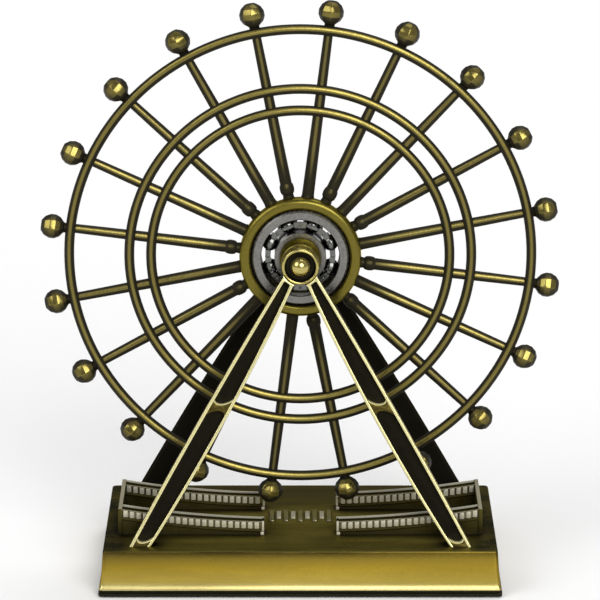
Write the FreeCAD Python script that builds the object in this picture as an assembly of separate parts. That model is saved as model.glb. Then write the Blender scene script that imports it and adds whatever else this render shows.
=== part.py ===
import FreeCAD, Part

import math
import os

# A die-cast observation wheel for a desk. The wheel spins on a ball bearing that is held between the
# round heads of a front and a rear A-frame, and the frames stand on a hollow plinth with two ramps.
#
# Millimetres. The origin is the middle of the underside, X runs to the right, Y to the rear, Z up, and
# the wheel turns about an axle along Y. Wheel parts are drawn about the origin, the first spoke upright,
# and are then turned and lifted into place. Angles are clockwise from the top, seen from the front.

Vector = FreeCAD.Vector
AXLE = Vector(0, 1, 0)
ACROSS = Vector(1, 0, 0)
ORIGIN = Vector(0, 0, 0)

# ---------------------------------------------------------------------------- driving dimensions

# Wheel: rims of round rod, joined by spokes and carrying a bead-shaped capsule at each spoke
INNER_RIM_RADIUS = 32.8          # all rim radii are to the middle of the rod
RIM_PAIR_SPACING = 4.8           # from the inner to the middle rim
OUTER_BAY = 13.2                 # from the middle to the outer rim
RIM_ROD_DIAMETER = 2.2
RIM_PLANE_Y = -0.4               # the rims are let into the fronts of the spokes
SPOKE_PLANE_Y = 0.4
SADDLE_CLEARANCE = 0.03          # around a rim, in the rods and stems that straddle it
SPOKE_COUNT = 20
FIRST_SPOKE_ANGLE = 7.0
SPOKE_ROOT_DIAMETER = 2.65
SPOKE_TIP_DIAMETER = 2.0
COLLAR_DIAMETER = 3.2            # ball collar beside the hub on every second spoke
COLLAR_LENGTH = 2.4
COLLAR_STAND_OFF = 0.9           # clear of the hub flange
COLLAR_NECK_DIAMETER = 2.0
ROD_SIDES = 4                    # rims and spokes, with an edge in front; diameters are across the edges
CAPSULE_SIDES = 6                # beads and stems, with a flat in front
CAPSULE_DIAMETER = 5.6
CAPSULE_LENGTH = 5.3             # along the spoke's line
CAPSULE_POLE_DIAMETER = 3.1      # flat facet at each end of the bead
CAPSULE_BELT = 1.4               # height of the belt of upright facets
STEM_DIAMETER = 2.6
STEM_LENGTH = 0.15               # between the outer rim and the bead
SWEEP_CLEARANCE = 3.45           # under the lowest capsule, over the plinth

# Hub and ball bearing
BEARING_BORE = 8.0
BEARING_WIDTH = 7.0
BEARING_FRONT_Y = -2.5
INNER_RACE_WALL = 1.7
OUTER_RACE_WALL = 2.4
BALL_COUNT = 8
BALL_DIAMETER = 3.6
BALL_SIDES = 8
BALL_SEAT_DEPTH = 0.35           # how far a ball sits in each race
BALL_CLEARANCE = 0.05
RACE_CHAMFER = 0.6
CAGE_STRIP = 0.35                # thickness of the cage's metal
CAGE_WIDTH = 1.4                 # of the ribbon, along the radius
CAGE_DRAW_IN = 0.17              # of the ribbon's links, inside the balls' pitch circle
CAGE_BALL_CLEARANCE = 0.12
HUB_WALL = 2.4                   # outside the bearing
HUB_EDGE_BEVEL = 0.5

# Axle
PIN_DIAMETER = 3.0
PIN_FIT = 0.03                   # radial, in the heads, spacers and sleeve
PIN_HEAD_DIAMETER = 3.9
PIN_HEAD_HEIGHT = 2.3
PIN_HEAD_BEVEL = 0.25            # height and width
REAR_SPACER_LENGTH = 1.9
SPACER_DIAMETER = 9.2

# A-frames
HEAD_DIAMETER = 8.2
HEAD_THICKNESS = 3.6
DISH_DIAMETER = 6.6              # hollow in the head around the pin's dome
DISH_DEPTH = 1.6
FOOT_SPACING = 70.2              # between the middles of a frame's feet
FOOT_STEP_OUT = 9.8              # of a foot in front of its head
LEG_TOP_X = 1.05                 # where the legs' middle lines start beside the axle
LEG_THICKNESS = 3.6
LEG_BOW = 0.45                   # of a leg's middle line towards the other leg
LEG_HEAD_WIDTH = 2.7             # widths are level, across a leg
LEG_MIDDLE_WIDTH = 5.7
LEG_FOOT_WIDTH = 4.7
POCKET_BORDER = 0.8              # left around the pockets in a leg's outer face
POCKET_DEPTH = 2.5
POCKET_END_BULGE = 1.5           # of the rounded pocket ends
POCKET_START = 6.2               # below the axle, down the leg
POCKET_WEB = 1.5                 # between the points of the upper and lower pocket
POCKET_SPLIT = 0.501             # where that web lies, as a share of the leg
POCKET_FOOT_WALL = 0.9
PEG_SIDES = 6                    # also of the screws
PEG_DIAMETER = 2.8               # across the corners
PEG_LENGTH = 3.0
PEG_FIT = 0.05

# Plinth
PLINTH_HEIGHT = 8.8
PLINTH_FLARE = 0.95              # wider at the bottom, on each side
PLINTH_END_MARGIN = 5.7          # outside the feet
PLINTH_FRONT_MARGIN = 2.7
PLINTH_WALL = 2.2
PLINTH_CORNER = 0.8              # cut off the upright edges
BOSS_WIDTH = 6.0
BOSS_DEPTH = 4.0                 # below the plinth's top sheet
PLATE_THICKNESS = 1.4
PLATE_LIP = 0.15                 # wider than the plinth, on each side
FELT_THICKNESS = 0.8
FELT_STAND = 0.3                 # of the felt below the plate
FELT_INSET = 2.0
SCREW_DIAMETER = 2.0
SCREW_HEAD_DIAMETER = 3.6
SCREW_HEAD_HEIGHT = 1.2
SCREW_BITE = 2.0                 # into a foot peg
SCREW_CLEARANCE = 0.15
STRIP_LENGTH = 14.4              # ribbed strip between the ramps
STRIP_WIDTH = 7.4
STRIP_MIDDLE_Y = 0.5
STRIP_PITCH = 1.6
STRIP_RIB_HEIGHT = 0.35

# Boarding ramps, one each side: two arms that rise outwards, joined by an end wall
RAMP_GAP = 16.0                  # between the inner ends of the two ramps
RAMP_END_MARGIN = 2.95           # from the outer end to the plinth's end
RAMP_WELL = 13.4                 # between the arms
RAMP_ARM_WIDTH = 3.6
RAMP_MIDDLE_Y = -1.6
RAMP_INNER_HEIGHT = 3.1
RAMP_MIDDLE_HEIGHT = 4.0
RAMP_OUTER_HEIGHT = 6.1
RAMP_END_WALL = 0.9
RAMP_POST = 0.9                  # at the inner end of an arm
RAIL_WALL = 0.7                  # either side of an arm's walkway
WALKWAY_DEPTH = 0.9
ROOM_OVER_RAMP = 1.0             # of the cutter, above the highest rail
RAIL_CAP = 0.2                   # top rail over the comb
COMB_HEIGHT = 1.6
COMB_PITCH = 1.5
COMB_SLOT = 0.75
COMB_DEPTH = 0.45

# ---------------------------------------------------------------------------- derived places

MIDDLE_RIM_RADIUS = INNER_RIM_RADIUS + RIM_PAIR_SPACING
OUTER_RIM_RADIUS = MIDDLE_RIM_RADIUS + OUTER_BAY
RIM_ROD_RADIUS = RIM_ROD_DIAMETER / 2
RIM_RADII = {"inner_rim": INNER_RIM_RADIUS, "middle_rim": MIDDLE_RIM_RADIUS, "outer_rim": OUTER_RIM_RADIUS}
CAPSULE_START = OUTER_RIM_RADIUS + RIM_ROD_RADIUS + STEM_LENGTH
WHEEL_TIP_RADIUS = CAPSULE_START + CAPSULE_LENGTH

INNER_LAND_RADIUS = BEARING_BORE / 2 + INNER_RACE_WALL
OUTER_LAND_RADIUS = INNER_LAND_RADIUS + BALL_DIAMETER - 2 * BALL_SEAT_DEPTH
BEARING_RADIUS = OUTER_LAND_RADIUS + OUTER_RACE_WALL
PITCH_RADIUS = (INNER_LAND_RADIUS + OUTER_LAND_RADIUS) / 2
BEARING_REAR_Y = BEARING_FRONT_Y + BEARING_WIDTH
BEARING_MIDDLE_Y = (BEARING_FRONT_Y + BEARING_REAR_Y) / 2
HUB_RADIUS = BEARING_RADIUS + HUB_WALL

HEAD_INNER_Y = BEARING_REAR_Y + REAR_SPACER_LENGTH
HEAD_OUTER_Y = HEAD_INNER_Y + HEAD_THICKNESS
PIN_BORE_RADIUS = PIN_DIAMETER / 2 + PIN_FIT
AXLE_OVER_PLINTH = WHEEL_TIP_RADIUS + SWEEP_CLEARANCE
LEG_LEAN = math.degrees(math.atan2(FOOT_STEP_OUT, AXLE_OVER_PLINTH))
LEG_RUN = math.hypot(FOOT_STEP_OUT, AXLE_OVER_PLINTH)
FOOT_X = FOOT_SPACING / 2
FOOT_Y = HEAD_OUTER_Y + FOOT_STEP_OUT - LEG_THICKNESS / 2 / math.cos(math.radians(LEG_LEAN))

PLATE_TOP_Z = FELT_STAND + PLATE_THICKNESS
PLINTH_TOP_Z = PLATE_TOP_Z + PLINTH_HEIGHT
SHEET_UNDERSIDE_Z = PLINTH_TOP_Z - PLINTH_WALL
BOSS_UNDERSIDE_Z = SHEET_UNDERSIDE_Z - BOSS_DEPTH
PLINTH_TOP_LENGTH = FOOT_SPACING + LEG_FOOT_WIDTH + 2 * PLINTH_END_MARGIN
PLINTH_TOP_DEPTH = 2 * (HEAD_OUTER_Y + FOOT_STEP_OUT + PLINTH_FRONT_MARGIN)
PLINTH_FOOT_LENGTH = PLINTH_TOP_LENGTH + 2 * PLINTH_FLARE
PLINTH_FOOT_DEPTH = PLINTH_TOP_DEPTH + 2 * PLINTH_FLARE
WHEEL_CENTRE = Vector(0, 0, PLINTH_TOP_Z + AXLE_OVER_PLINTH)

RAMP_INNER_X = RAMP_GAP / 2
RAMP_OUTER_X = PLINTH_TOP_LENGTH / 2 - RAMP_END_MARGIN
COMB_TOP_DROP = RAIL_CAP
COMB_FOOT_DROP = RAIL_CAP + COMB_HEIGHT


# ---------------------------------------------------------------------------- drawing helpers

def block(x_low, x_high, y_low, y_high, z_low, z_high):
    """An upright box between two corners."""
    return Part.makeBox(x_high - x_low, y_high - y_low, z_high - z_low, Vector(x_low, y_low, z_low))


def turned(profile):
    """A solid turned about the axle from a closed outline of (radius, y) corners."""
    face = flat_face([Vector(radius, y, 0) for radius, y in profile])
    return face.revolve(ORIGIN, AXLE, 360)


def flat_face(corners):
    """A flat face from its corners."""
    return Part.Face(Part.makePolygon(corners + corners[:1]))


def faceted(sections):
    """A solid with flat faces, through sections that are rings of as many corners each."""
    faces = [flat_face(sections[0]), flat_face(sections[-1])]
    for lower, upper in zip(sections, sections[1:]):
        for side in range(len(lower)):
            after = (side + 1) % len(lower)
            faces.append(flat_face([lower[side], lower[after], upper[after], upper[side]]))
    return Part.Solid(Part.Shell(faces))


def polygon(sides, diameter):
    """Corners (u, v) of a regular polygon, the first towards +u, by its size across the corners."""
    angles = [2 * math.pi * side / sides for side in range(sides)]
    return [(diameter / 2 * math.cos(angle), diameter / 2 * math.sin(angle)) for angle in angles]


def rod(sides, x, y, stations):
    """An upright flat-sided rod through (height, diameter) stations."""
    return faceted([[Vector(x + u, y + v, height) for u, v in polygon(sides, diameter)]
                    for height, diameter in stations])


def at_spoke(shape, number):
    """A copy of a wheel part, turned to a spoke's place and lifted to the wheel's centre."""
    copy = shape.copy()
    copy.rotate(ORIGIN, AXLE, FIRST_SPOKE_ANGLE + number * 360 / SPOKE_COUNT)
    copy.translate(WHEEL_CENTRE)
    return copy


def lifted(shape):
    """A copy of a wheel or axle part, lifted to the wheel's centre."""
    copy = shape.copy()
    copy.translate(WHEEL_CENTRE)
    return copy


def mirrored(shape, normal):
    """A copy mirrored in the plane through the origin with this normal."""
    return shape.mirror(ORIGIN, normal)


def joined(shapes):
    """One solid made of shapes that touch or overlap."""
    return shapes[0].multiFuse(shapes[1:]).removeSplitter()


# ---------------------------------------------------------------------------- wheel

def rim_section(radius, clearance):
    """Corners (radius, y) of a rim's rod, its flats moved out by a clearance."""
    diameter = RIM_ROD_DIAMETER + 2 * clearance / math.cos(math.pi / ROD_SIDES)
    return [(radius + u, RIM_PLANE_Y + v) for u, v in polygon(ROD_SIDES, diameter)]


def make_rim(radius):
    """A ring of flat-sided rod."""
    return turned(rim_section(radius, 0))


def make_saddle(radius):
    """What is cut out of a spoke or stem to straddle a rim."""
    half = CAPSULE_DIAMETER / 2
    section = rim_section(radius, SADDLE_CLEARANCE)
    return faceted([[Vector(x, y, z) for z, y in section] for x in (-half, half)])


def make_hub():
    """The bevelled ring that holds the bearing."""
    return turned([
        (BEARING_RADIUS, BEARING_FRONT_Y),
        (HUB_RADIUS - HUB_EDGE_BEVEL, BEARING_FRONT_Y),
        (HUB_RADIUS, BEARING_FRONT_Y + HUB_EDGE_BEVEL),
        (HUB_RADIUS, BEARING_REAR_Y),
        (BEARING_RADIUS, BEARING_REAR_Y),
    ])


def make_spoke(with_collar):
    """A tapered rod from the hub to the outer rim, cut out where the rims are let into it."""
    stations = [(HUB_RADIUS, SPOKE_ROOT_DIAMETER)]
    if with_collar:
        start = HUB_RADIUS + COLLAR_STAND_OFF
        stations = [
            (HUB_RADIUS, COLLAR_NECK_DIAMETER),
            (start, COLLAR_NECK_DIAMETER),
            (start + COLLAR_LENGTH * 0.3, COLLAR_DIAMETER),
            (start + COLLAR_LENGTH * 0.6, COLLAR_DIAMETER),
            (start + COLLAR_LENGTH, SPOKE_ROOT_DIAMETER),
        ]
    stations.append((OUTER_RIM_RADIUS, SPOKE_TIP_DIAMETER))
    saddles = [make_saddle(radius) for radius in RIM_RADII.values()]
    return rod(ROD_SIDES, 0, SPOKE_PLANE_Y, stations).cut(saddles)


def make_capsule():
    """A bead with flat facets on a short stem that straddles the outer rim."""
    slope = (CAPSULE_LENGTH - CAPSULE_BELT) / 2
    bead = rod(CAPSULE_SIDES, 0, 0, [
        (OUTER_RIM_RADIUS + RIM_ROD_RADIUS / 2, STEM_DIAMETER),
        (CAPSULE_START, CAPSULE_POLE_DIAMETER),
        (CAPSULE_START + slope, CAPSULE_DIAMETER),
        (CAPSULE_START + slope + CAPSULE_BELT, CAPSULE_DIAMETER),
        (WHEEL_TIP_RADIUS, CAPSULE_POLE_DIAMETER),
    ])
    return bead.cut(make_saddle(OUTER_RIM_RADIUS))


# ---------------------------------------------------------------------------- bearing and axle

def race_groove(land_radius, inward):
    """The groove for the balls across a race's land; inward is 1 for the inner race and -1 for the outer."""
    sunk = BALL_DIAMETER / 2 - BALL_SEAT_DEPTH
    mouth = math.sqrt((BALL_DIAMETER / 2) ** 2 - sunk ** 2) + BALL_CLEARANCE
    floor_radius = land_radius - inward * (BALL_SEAT_DEPTH + BALL_CLEARANCE)
    return [
        (land_radius, BEARING_MIDDLE_Y + mouth),
        (floor_radius, BEARING_MIDDLE_Y + mouth),
        (floor_radius, BEARING_MIDDLE_Y - mouth),
        (land_radius, BEARING_MIDDLE_Y - mouth),
    ]


def make_inner_race():
    """The still race, clamped between the spacers."""
    bore = BEARING_BORE / 2
    outline = [(bore, BEARING_FRONT_Y), (bore, BEARING_REAR_Y), (INNER_LAND_RADIUS, BEARING_REAR_Y)]
    outline += race_groove(INNER_LAND_RADIUS, 1)
    outline.append((INNER_LAND_RADIUS, BEARING_FRONT_Y))
    return turned(outline)


def make_outer_race():
    """The race that turns with the hub."""
    outline = [
        (BEARING_RADIUS - RACE_CHAMFER, BEARING_FRONT_Y),
        (BEARING_RADIUS, BEARING_FRONT_Y + RACE_CHAMFER),
        (BEARING_RADIUS, BEARING_REAR_Y),
        (OUTER_LAND_RADIUS, BEARING_REAR_Y),
    ]
    outline += race_groove(OUTER_LAND_RADIUS, -1)
    outline.append((OUTER_LAND_RADIUS, BEARING_FRONT_Y))
    return turned(outline)


def ball_angle(number):
    """Balls sit half a step off the top."""
    return (number + 0.5) * 360 / BALL_COUNT


def make_balls():
    """All the balls, with facets, as separate solids."""
    sections = []
    for latitude in (-67.5, -22.5, 22.5, 67.5):
        height = PITCH_RADIUS + BALL_DIAMETER / 2 * math.sin(math.radians(latitude))
        ring = polygon(BALL_SIDES, BALL_DIAMETER * math.cos(math.radians(latitude)))
        sections.append([Vector(u, BEARING_MIDDLE_Y + v, height) for u, v in ring])
    ball = faceted(sections)
    balls = []
    for number in range(BALL_COUNT):
        copy = ball.copy()
        copy.rotate(ORIGIN, AXLE, ball_angle(number))
        balls.append(copy)
    return Part.makeCompound(balls)


def make_cage_half(side):
    """Half of the ribbon cage, in front (side -1) or behind (1): flat links between pockets for the balls."""
    half_step = math.pi / BALL_COUNT
    ball_x = PITCH_RADIUS * math.sin(half_step)
    pocket = BALL_DIAMETER / 2 + CAGE_BALL_CLEARANCE
    shoulder = pocket * math.tan(math.pi / 8)
    strip = CAGE_STRIP
    outer_shoulder = shoulder + strip * math.tan(math.pi / 8)
    middle_radius = PITCH_RADIUS - CAGE_DRAW_IN
    sections = []
    for radius in (middle_radius - CAGE_WIDTH / 2, middle_radius + CAGE_WIDTH / 2):
        mitre = radius * math.tan(half_step)
        near = [
            (mitre, pocket),
            (ball_x - shoulder, pocket),
            (ball_x - pocket, shoulder),
            (ball_x - pocket, 0),
        ]
        far = [
            (ball_x - pocket - strip, strip),
            (ball_x - pocket - strip, outer_shoulder),
            (ball_x - outer_shoulder, pocket + strip),
            (mitre, pocket + strip),
        ]
        outline = near + [(-x, y) for x, y in reversed(near)]
        outline += [(-x, y) for x, y in reversed(far)] + far
        sections.append([Vector(x, BEARING_MIDDLE_Y + side * y, radius) for x, y in outline])
    link = faceted(sections)
    links = []
    for number in range(BALL_COUNT):
        copy = link.copy()
        copy.rotate(ORIGIN, AXLE, ball_angle(number + 0.5))
        links.append(copy)
    return joined(links)


def make_sleeve():
    """The tube that fills the bearing's bore around the pin."""
    bore = BEARING_BORE / 2
    return turned([(PIN_BORE_RADIUS, BEARING_FRONT_Y), (bore, BEARING_FRONT_Y),
                   (bore, BEARING_REAR_Y), (PIN_BORE_RADIUS, BEARING_REAR_Y)])


def make_spacers():
    """A spacer on each side, between the inner race and a frame's head."""
    radius = SPACER_DIAMETER / 2
    spacers = [turned([(PIN_BORE_RADIUS, start), (radius, start), (radius, end), (PIN_BORE_RADIUS, end)])
               for start, end in ((-HEAD_INNER_Y, BEARING_FRONT_Y), (BEARING_REAR_Y, HEAD_INNER_Y))]
    return Part.makeCompound(spacers)


def make_pin():
    """The pin through both heads, with a domed head in each head's dish."""
    shank = PIN_DIAMETER / 2
    dome = PIN_HEAD_DIAMETER / 2
    seat = HEAD_OUTER_Y - DISH_DEPTH
    top = seat + PIN_HEAD_HEIGHT
    side = [(shank, seat), (dome, seat), (dome, top - PIN_HEAD_BEVEL), (dome - PIN_HEAD_BEVEL, top), (0, top)]
    return turned([(radius, -y) for radius, y in reversed(side)] + side)


# ---------------------------------------------------------------------------- A-frames

def leg_middle_x(run):
    """How far a leg's middle line is from the axle, at a distance down the leg's plane."""
    share = run / LEG_RUN
    return LEG_TOP_X + (FOOT_X - LEG_TOP_X) * share - 4 * LEG_BOW * share * (1 - share)


def leg_outline(start, end, border, bulge):
    """A leg's or pocket's face in the frame's own plane, with sides as arcs and ends bulged by an amount."""
    middle = (start + end) / 2

    def half_width(run):
        rise = (run - LEG_RUN / 2) / (LEG_RUN / 2)
        straight = (LEG_HEAD_WIDTH + LEG_FOOT_WIDTH) / 2 + (LEG_FOOT_WIDTH - LEG_HEAD_WIDTH) / 2 * rise
        swell = (LEG_MIDDLE_WIDTH - (LEG_HEAD_WIDTH + LEG_FOOT_WIDTH) / 2) * (1 - rise * rise)
        return (straight + swell) / 2 - border

    def side(run, sign):
        return Vector(leg_middle_x(run) + sign * half_width(run), 0, -run)

    outer = Part.Arc(side(start, 1), side(middle, 1), side(end, 1)).toShape()
    inner = Part.Arc(side(end, -1), side(middle, -1), side(start, -1)).toShape()
    if bulge > 0:
        foot_point = Vector(leg_middle_x(end + bulge), 0, -end - bulge)
        head_point = Vector(leg_middle_x(start - bulge), 0, -start + bulge)
        foot = Part.Arc(side(end, 1), foot_point, side(end, -1)).toShape()
        head = Part.Arc(side(start, -1), head_point, side(start, 1)).toShape()
    else:
        foot = Part.LineSegment(side(end, 1), side(end, -1)).toShape()
        head = Part.LineSegment(side(start, -1), side(start, 1)).toShape()
    return Part.Face(Part.Wire([outer, foot, inner, head]))


def leaned(shape):
    """A shape from the frame's own plane, leaned outwards onto the front of the head."""
    shape.rotate(ORIGIN, ACROSS, -LEG_LEAN)
    shape.translate(Vector(0, -HEAD_OUTER_Y, 0))
    return shape


def make_leg():
    """A leg to the right, blind pockets cut in its outer face, its foot cut level."""
    head_run = HEAD_DIAMETER / 2 * 0.75
    below = LEG_THICKNESS
    leg = leaned(leg_outline(head_run, LEG_RUN + below, 0, 0).extrude(Vector(0, LEG_THICKNESS, 0)))
    web_run = LEG_RUN * POCKET_SPLIT
    upper = (POCKET_START, web_run - POCKET_WEB / 2 - POCKET_END_BULGE)
    lower = (web_run + POCKET_WEB / 2 + POCKET_END_BULGE, LEG_RUN - POCKET_FOOT_WALL - POCKET_END_BULGE)
    for start, end in (upper, lower):
        pocket = leg_outline(start, end, POCKET_BORDER, POCKET_END_BULGE)
        leg = leg.cut(leaned(pocket.extrude(Vector(0, POCKET_DEPTH, 0))))
    reach = 2 * LEG_RUN
    underground = block(-reach, reach, -reach, reach, -AXLE_OVER_PLINTH - reach, -AXLE_OVER_PLINTH)
    peg_foot = -AXLE_OVER_PLINTH - PEG_LENGTH
    pilot_top = peg_foot + SCREW_BITE
    peg = rod(PEG_SIDES, FOOT_X, -FOOT_Y, [(peg_foot, PEG_DIAMETER), (-AXLE_OVER_PLINTH, PEG_DIAMETER)])
    pilot = rod(PEG_SIDES, FOOT_X, -FOOT_Y, [(peg_foot, SCREW_DIAMETER), (pilot_top, SCREW_DIAMETER)])
    return leg.cut(underground).fuse(peg).cut(pilot)


def make_front_frame():
    """The A-frame casting: a dished round head and two spread legs on pegs."""
    head = turned([(0, -HEAD_OUTER_Y), (HEAD_DIAMETER / 2, -HEAD_OUTER_Y),
                   (HEAD_DIAMETER / 2, -HEAD_INNER_Y), (0, -HEAD_INNER_Y)])
    dish_floor_y = DISH_DEPTH - HEAD_OUTER_Y
    dish = turned([(0, -HEAD_OUTER_Y), (DISH_DIAMETER / 2, -HEAD_OUTER_Y),
                   (DISH_DIAMETER / 2, dish_floor_y), (0, dish_floor_y)])
    bore = turned([(0, -HEAD_OUTER_Y), (PIN_BORE_RADIUS, -HEAD_OUTER_Y),
                   (PIN_BORE_RADIUS, -HEAD_INNER_Y), (0, -HEAD_INNER_Y)])
    right = make_leg()
    left = mirrored(right, ACROSS)
    frame = joined([head, right, left])
    in_front = turned([(0, -HEAD_OUTER_Y - FOOT_STEP_OUT), (DISH_DIAMETER / 2, -HEAD_OUTER_Y - FOOT_STEP_OUT),
                       (DISH_DIAMETER / 2, -HEAD_OUTER_Y), (0, -HEAD_OUTER_Y)])
    behind = turned([(0, -HEAD_INNER_Y), (HEAD_DIAMETER, -HEAD_INNER_Y), (HEAD_DIAMETER, 0), (0, 0)])
    return lifted(frame.cut([dish, bore, in_front, behind]))


# ---------------------------------------------------------------------------- plinth

def cut_rectangle(length, depth, z):
    """Corners of a level rectangle about the Z axis, its own corners cut off."""
    x, y, cut = length / 2, depth / 2, PLINTH_CORNER
    quarter = [(x, y - cut), (x - cut, y)]
    half = quarter + [(-a, b) for a, b in reversed(quarter)]
    return [Vector(a, b, z) for a, b in half + [(-a, -b) for a, b in half]]


def foot_places():
    """The middles of the four feet, on the plinth's plan."""
    return [(sx * FOOT_X, sy * FOOT_Y) for sx in (-1, 1) for sy in (-1, 1)]


def make_plinth():
    """The hollow plinth: flared sides, bosses under the feet and a ribbed strip on top."""
    outside = faceted([cut_rectangle(PLINTH_FOOT_LENGTH, PLINTH_FOOT_DEPTH, PLATE_TOP_Z),
                       cut_rectangle(PLINTH_TOP_LENGTH, PLINTH_TOP_DEPTH, PLINTH_TOP_Z)])
    walls = 2 * PLINTH_WALL
    inside = faceted([cut_rectangle(PLINTH_FOOT_LENGTH - walls, PLINTH_FOOT_DEPTH - walls, PLATE_TOP_Z),
                      cut_rectangle(PLINTH_TOP_LENGTH - walls, PLINTH_TOP_DEPTH - walls, SHEET_UNDERSIDE_Z)])
    bosses, holes = [], []
    for x, y in foot_places():
        half = BOSS_WIDTH / 2
        bosses.append(block(x - half, x + half, y - half, y + half, BOSS_UNDERSIDE_Z, SHEET_UNDERSIDE_Z))
        socket = PEG_DIAMETER + 2 * PEG_FIT
        socket_floor = PLINTH_TOP_Z - PEG_LENGTH - PEG_FIT
        holes.append(rod(PEG_SIDES, x, y, [(socket_floor, socket), (PLINTH_TOP_Z, socket)]))
        clear = SCREW_DIAMETER + 2 * SCREW_CLEARANCE
        holes.append(rod(PEG_SIDES, x, y, [(BOSS_UNDERSIDE_Z, clear), (PLINTH_TOP_Z, clear)]))
    ribs = []
    rib_count = int(STRIP_LENGTH / STRIP_PITCH)
    for number in range(rib_count):
        x = (number - (rib_count - 1) / 2) * STRIP_PITCH
        ribs.append(block(x - STRIP_PITCH / 4, x + STRIP_PITCH / 4,
                          STRIP_MIDDLE_Y - STRIP_WIDTH / 2, STRIP_MIDDLE_Y + STRIP_WIDTH / 2,
                          PLINTH_TOP_Z, PLINTH_TOP_Z + STRIP_RIB_HEIGHT))
    return joined([outside.cut(inside)] + bosses + ribs).cut(holes)


def make_plate():
    """The closing plate, wider than the plinth, recessed below for the felt."""
    length = PLINTH_FOOT_LENGTH + 2 * PLATE_LIP
    depth = PLINTH_FOOT_DEPTH + 2 * PLATE_LIP
    plate = faceted([cut_rectangle(length, depth, FELT_STAND), cut_rectangle(length, depth, PLATE_TOP_Z)])
    return plate.cut(make_felt())


def make_felt():
    """The pad under the plate."""
    length = PLINTH_FOOT_LENGTH + 2 * PLATE_LIP - 2 * FELT_INSET
    depth = PLINTH_FOOT_DEPTH + 2 * PLATE_LIP - 2 * FELT_INSET
    return block(-length / 2, length / 2, -depth / 2, depth / 2, 0, FELT_THICKNESS)


def make_screws():
    """The four screws, from below through the bosses into the foot pegs."""
    seat = BOSS_UNDERSIDE_Z
    head_foot = seat - SCREW_HEAD_HEIGHT
    shank_top = PLINTH_TOP_Z - PEG_LENGTH + SCREW_BITE
    screws = []
    for x, y in foot_places():
        head = rod(PEG_SIDES, x, y, [(head_foot, SCREW_HEAD_DIAMETER), (seat, SCREW_HEAD_DIAMETER)])
        shank = rod(PEG_SIDES, x, y, [(seat, SCREW_DIAMETER), (shank_top, SCREW_DIAMETER)])
        screws.append(joined([head, shank]))
    return Part.makeCompound(screws)


# ---------------------------------------------------------------------------- ramps

def ramp_profile(drop, x_from, x_to):
    """The side of an arm from the plinth up to a line that follows its top, lower by an amount."""
    ends = [(RAMP_INNER_X, RAMP_INNER_HEIGHT), ((RAMP_INNER_X + RAMP_OUTER_X) / 2, RAMP_MIDDLE_HEIGHT),
            (RAMP_OUTER_X, RAMP_OUTER_HEIGHT)]
    curve = Part.Arc(*[Vector(x, 0, PLINTH_TOP_Z + height - drop) for x, height in ends])

    def top_z(x):
        upright = Part.LineSegment(Vector(x, 0, 0), Vector(x, 0, 2 * PLINTH_TOP_Z + RAMP_OUTER_HEIGHT))
        return curve.toShape().distToShape(upright.toShape())[1][0][0].z

    top = Part.Arc(*[Vector(x, 0, top_z(x)) for x in (x_from, (x_from + x_to) / 2, x_to)])
    rest = Part.makePolygon([Vector(x_to, 0, top_z(x_to)), Vector(x_to, 0, PLINTH_TOP_Z),
                             Vector(x_from, 0, PLINTH_TOP_Z), Vector(x_from, 0, top_z(x_from))])
    return Part.Face(Part.Wire([top.toShape()] + rest.Edges)), top_z


def make_arm():
    """One arm about y = 0: a rising beam with a walkway sunk in its top and a comb along each side."""
    half = RAMP_ARM_WIDTH / 2
    outline, top_z = ramp_profile(0, RAMP_INNER_X, RAMP_OUTER_X)
    outline.translate(Vector(0, -half, 0))
    arm = outline.extrude(Vector(0, RAMP_ARM_WIDTH, 0))
    walk_from = RAMP_INNER_X + RAMP_POST
    walk_to = RAMP_OUTER_X - RAMP_END_WALL
    floor, _ = ramp_profile(WALKWAY_DEPTH, walk_from, walk_to)
    roof = block(walk_from, walk_to, 0, RAMP_ARM_WIDTH - 2 * RAIL_WALL, PLINTH_TOP_Z,
                 PLINTH_TOP_Z + RAMP_OUTER_HEIGHT + ROOM_OVER_RAMP)
    walkway = roof.cut(floor.extrude(Vector(0, RAMP_ARM_WIDTH, 0)))
    walkway.translate(Vector(0, RAIL_WALL - half, 0))
    slots = []
    slot_count = int((walk_to - walk_from) / COMB_PITCH)
    first = (walk_from + walk_to - (slot_count - 1) * COMB_PITCH) / 2
    for number in range(slot_count):
        x = first + number * COMB_PITCH
        top = top_z(x)
        slots.append(block(x - COMB_SLOT / 2, x + COMB_SLOT / 2, -half, COMB_DEPTH - half,
                           top - COMB_FOOT_DROP, top - COMB_TOP_DROP))
    return arm.cut([walkway] + slots)


def make_right_ramp():
    """A U of two arms and an end wall, open towards the middle of the plinth."""
    arm_step = (RAMP_WELL + RAMP_ARM_WIDTH) / 2
    front = make_arm()
    front.translate(Vector(0, RAMP_MIDDLE_Y - arm_step, 0))
    rear = make_arm()
    rear.translate(Vector(0, RAMP_MIDDLE_Y + arm_step, 0))
    reach = RAMP_WELL / 2 + RAMP_ARM_WIDTH
    end_wall = block(RAMP_OUTER_X - RAMP_END_WALL, RAMP_OUTER_X, RAMP_MIDDLE_Y - reach, RAMP_MIDDLE_Y + reach,
                     PLINTH_TOP_Z, PLINTH_TOP_Z + RAMP_OUTER_HEIGHT)
    return joined([front, rear, end_wall])


# ---------------------------------------------------------------------------- the whole toy

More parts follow.
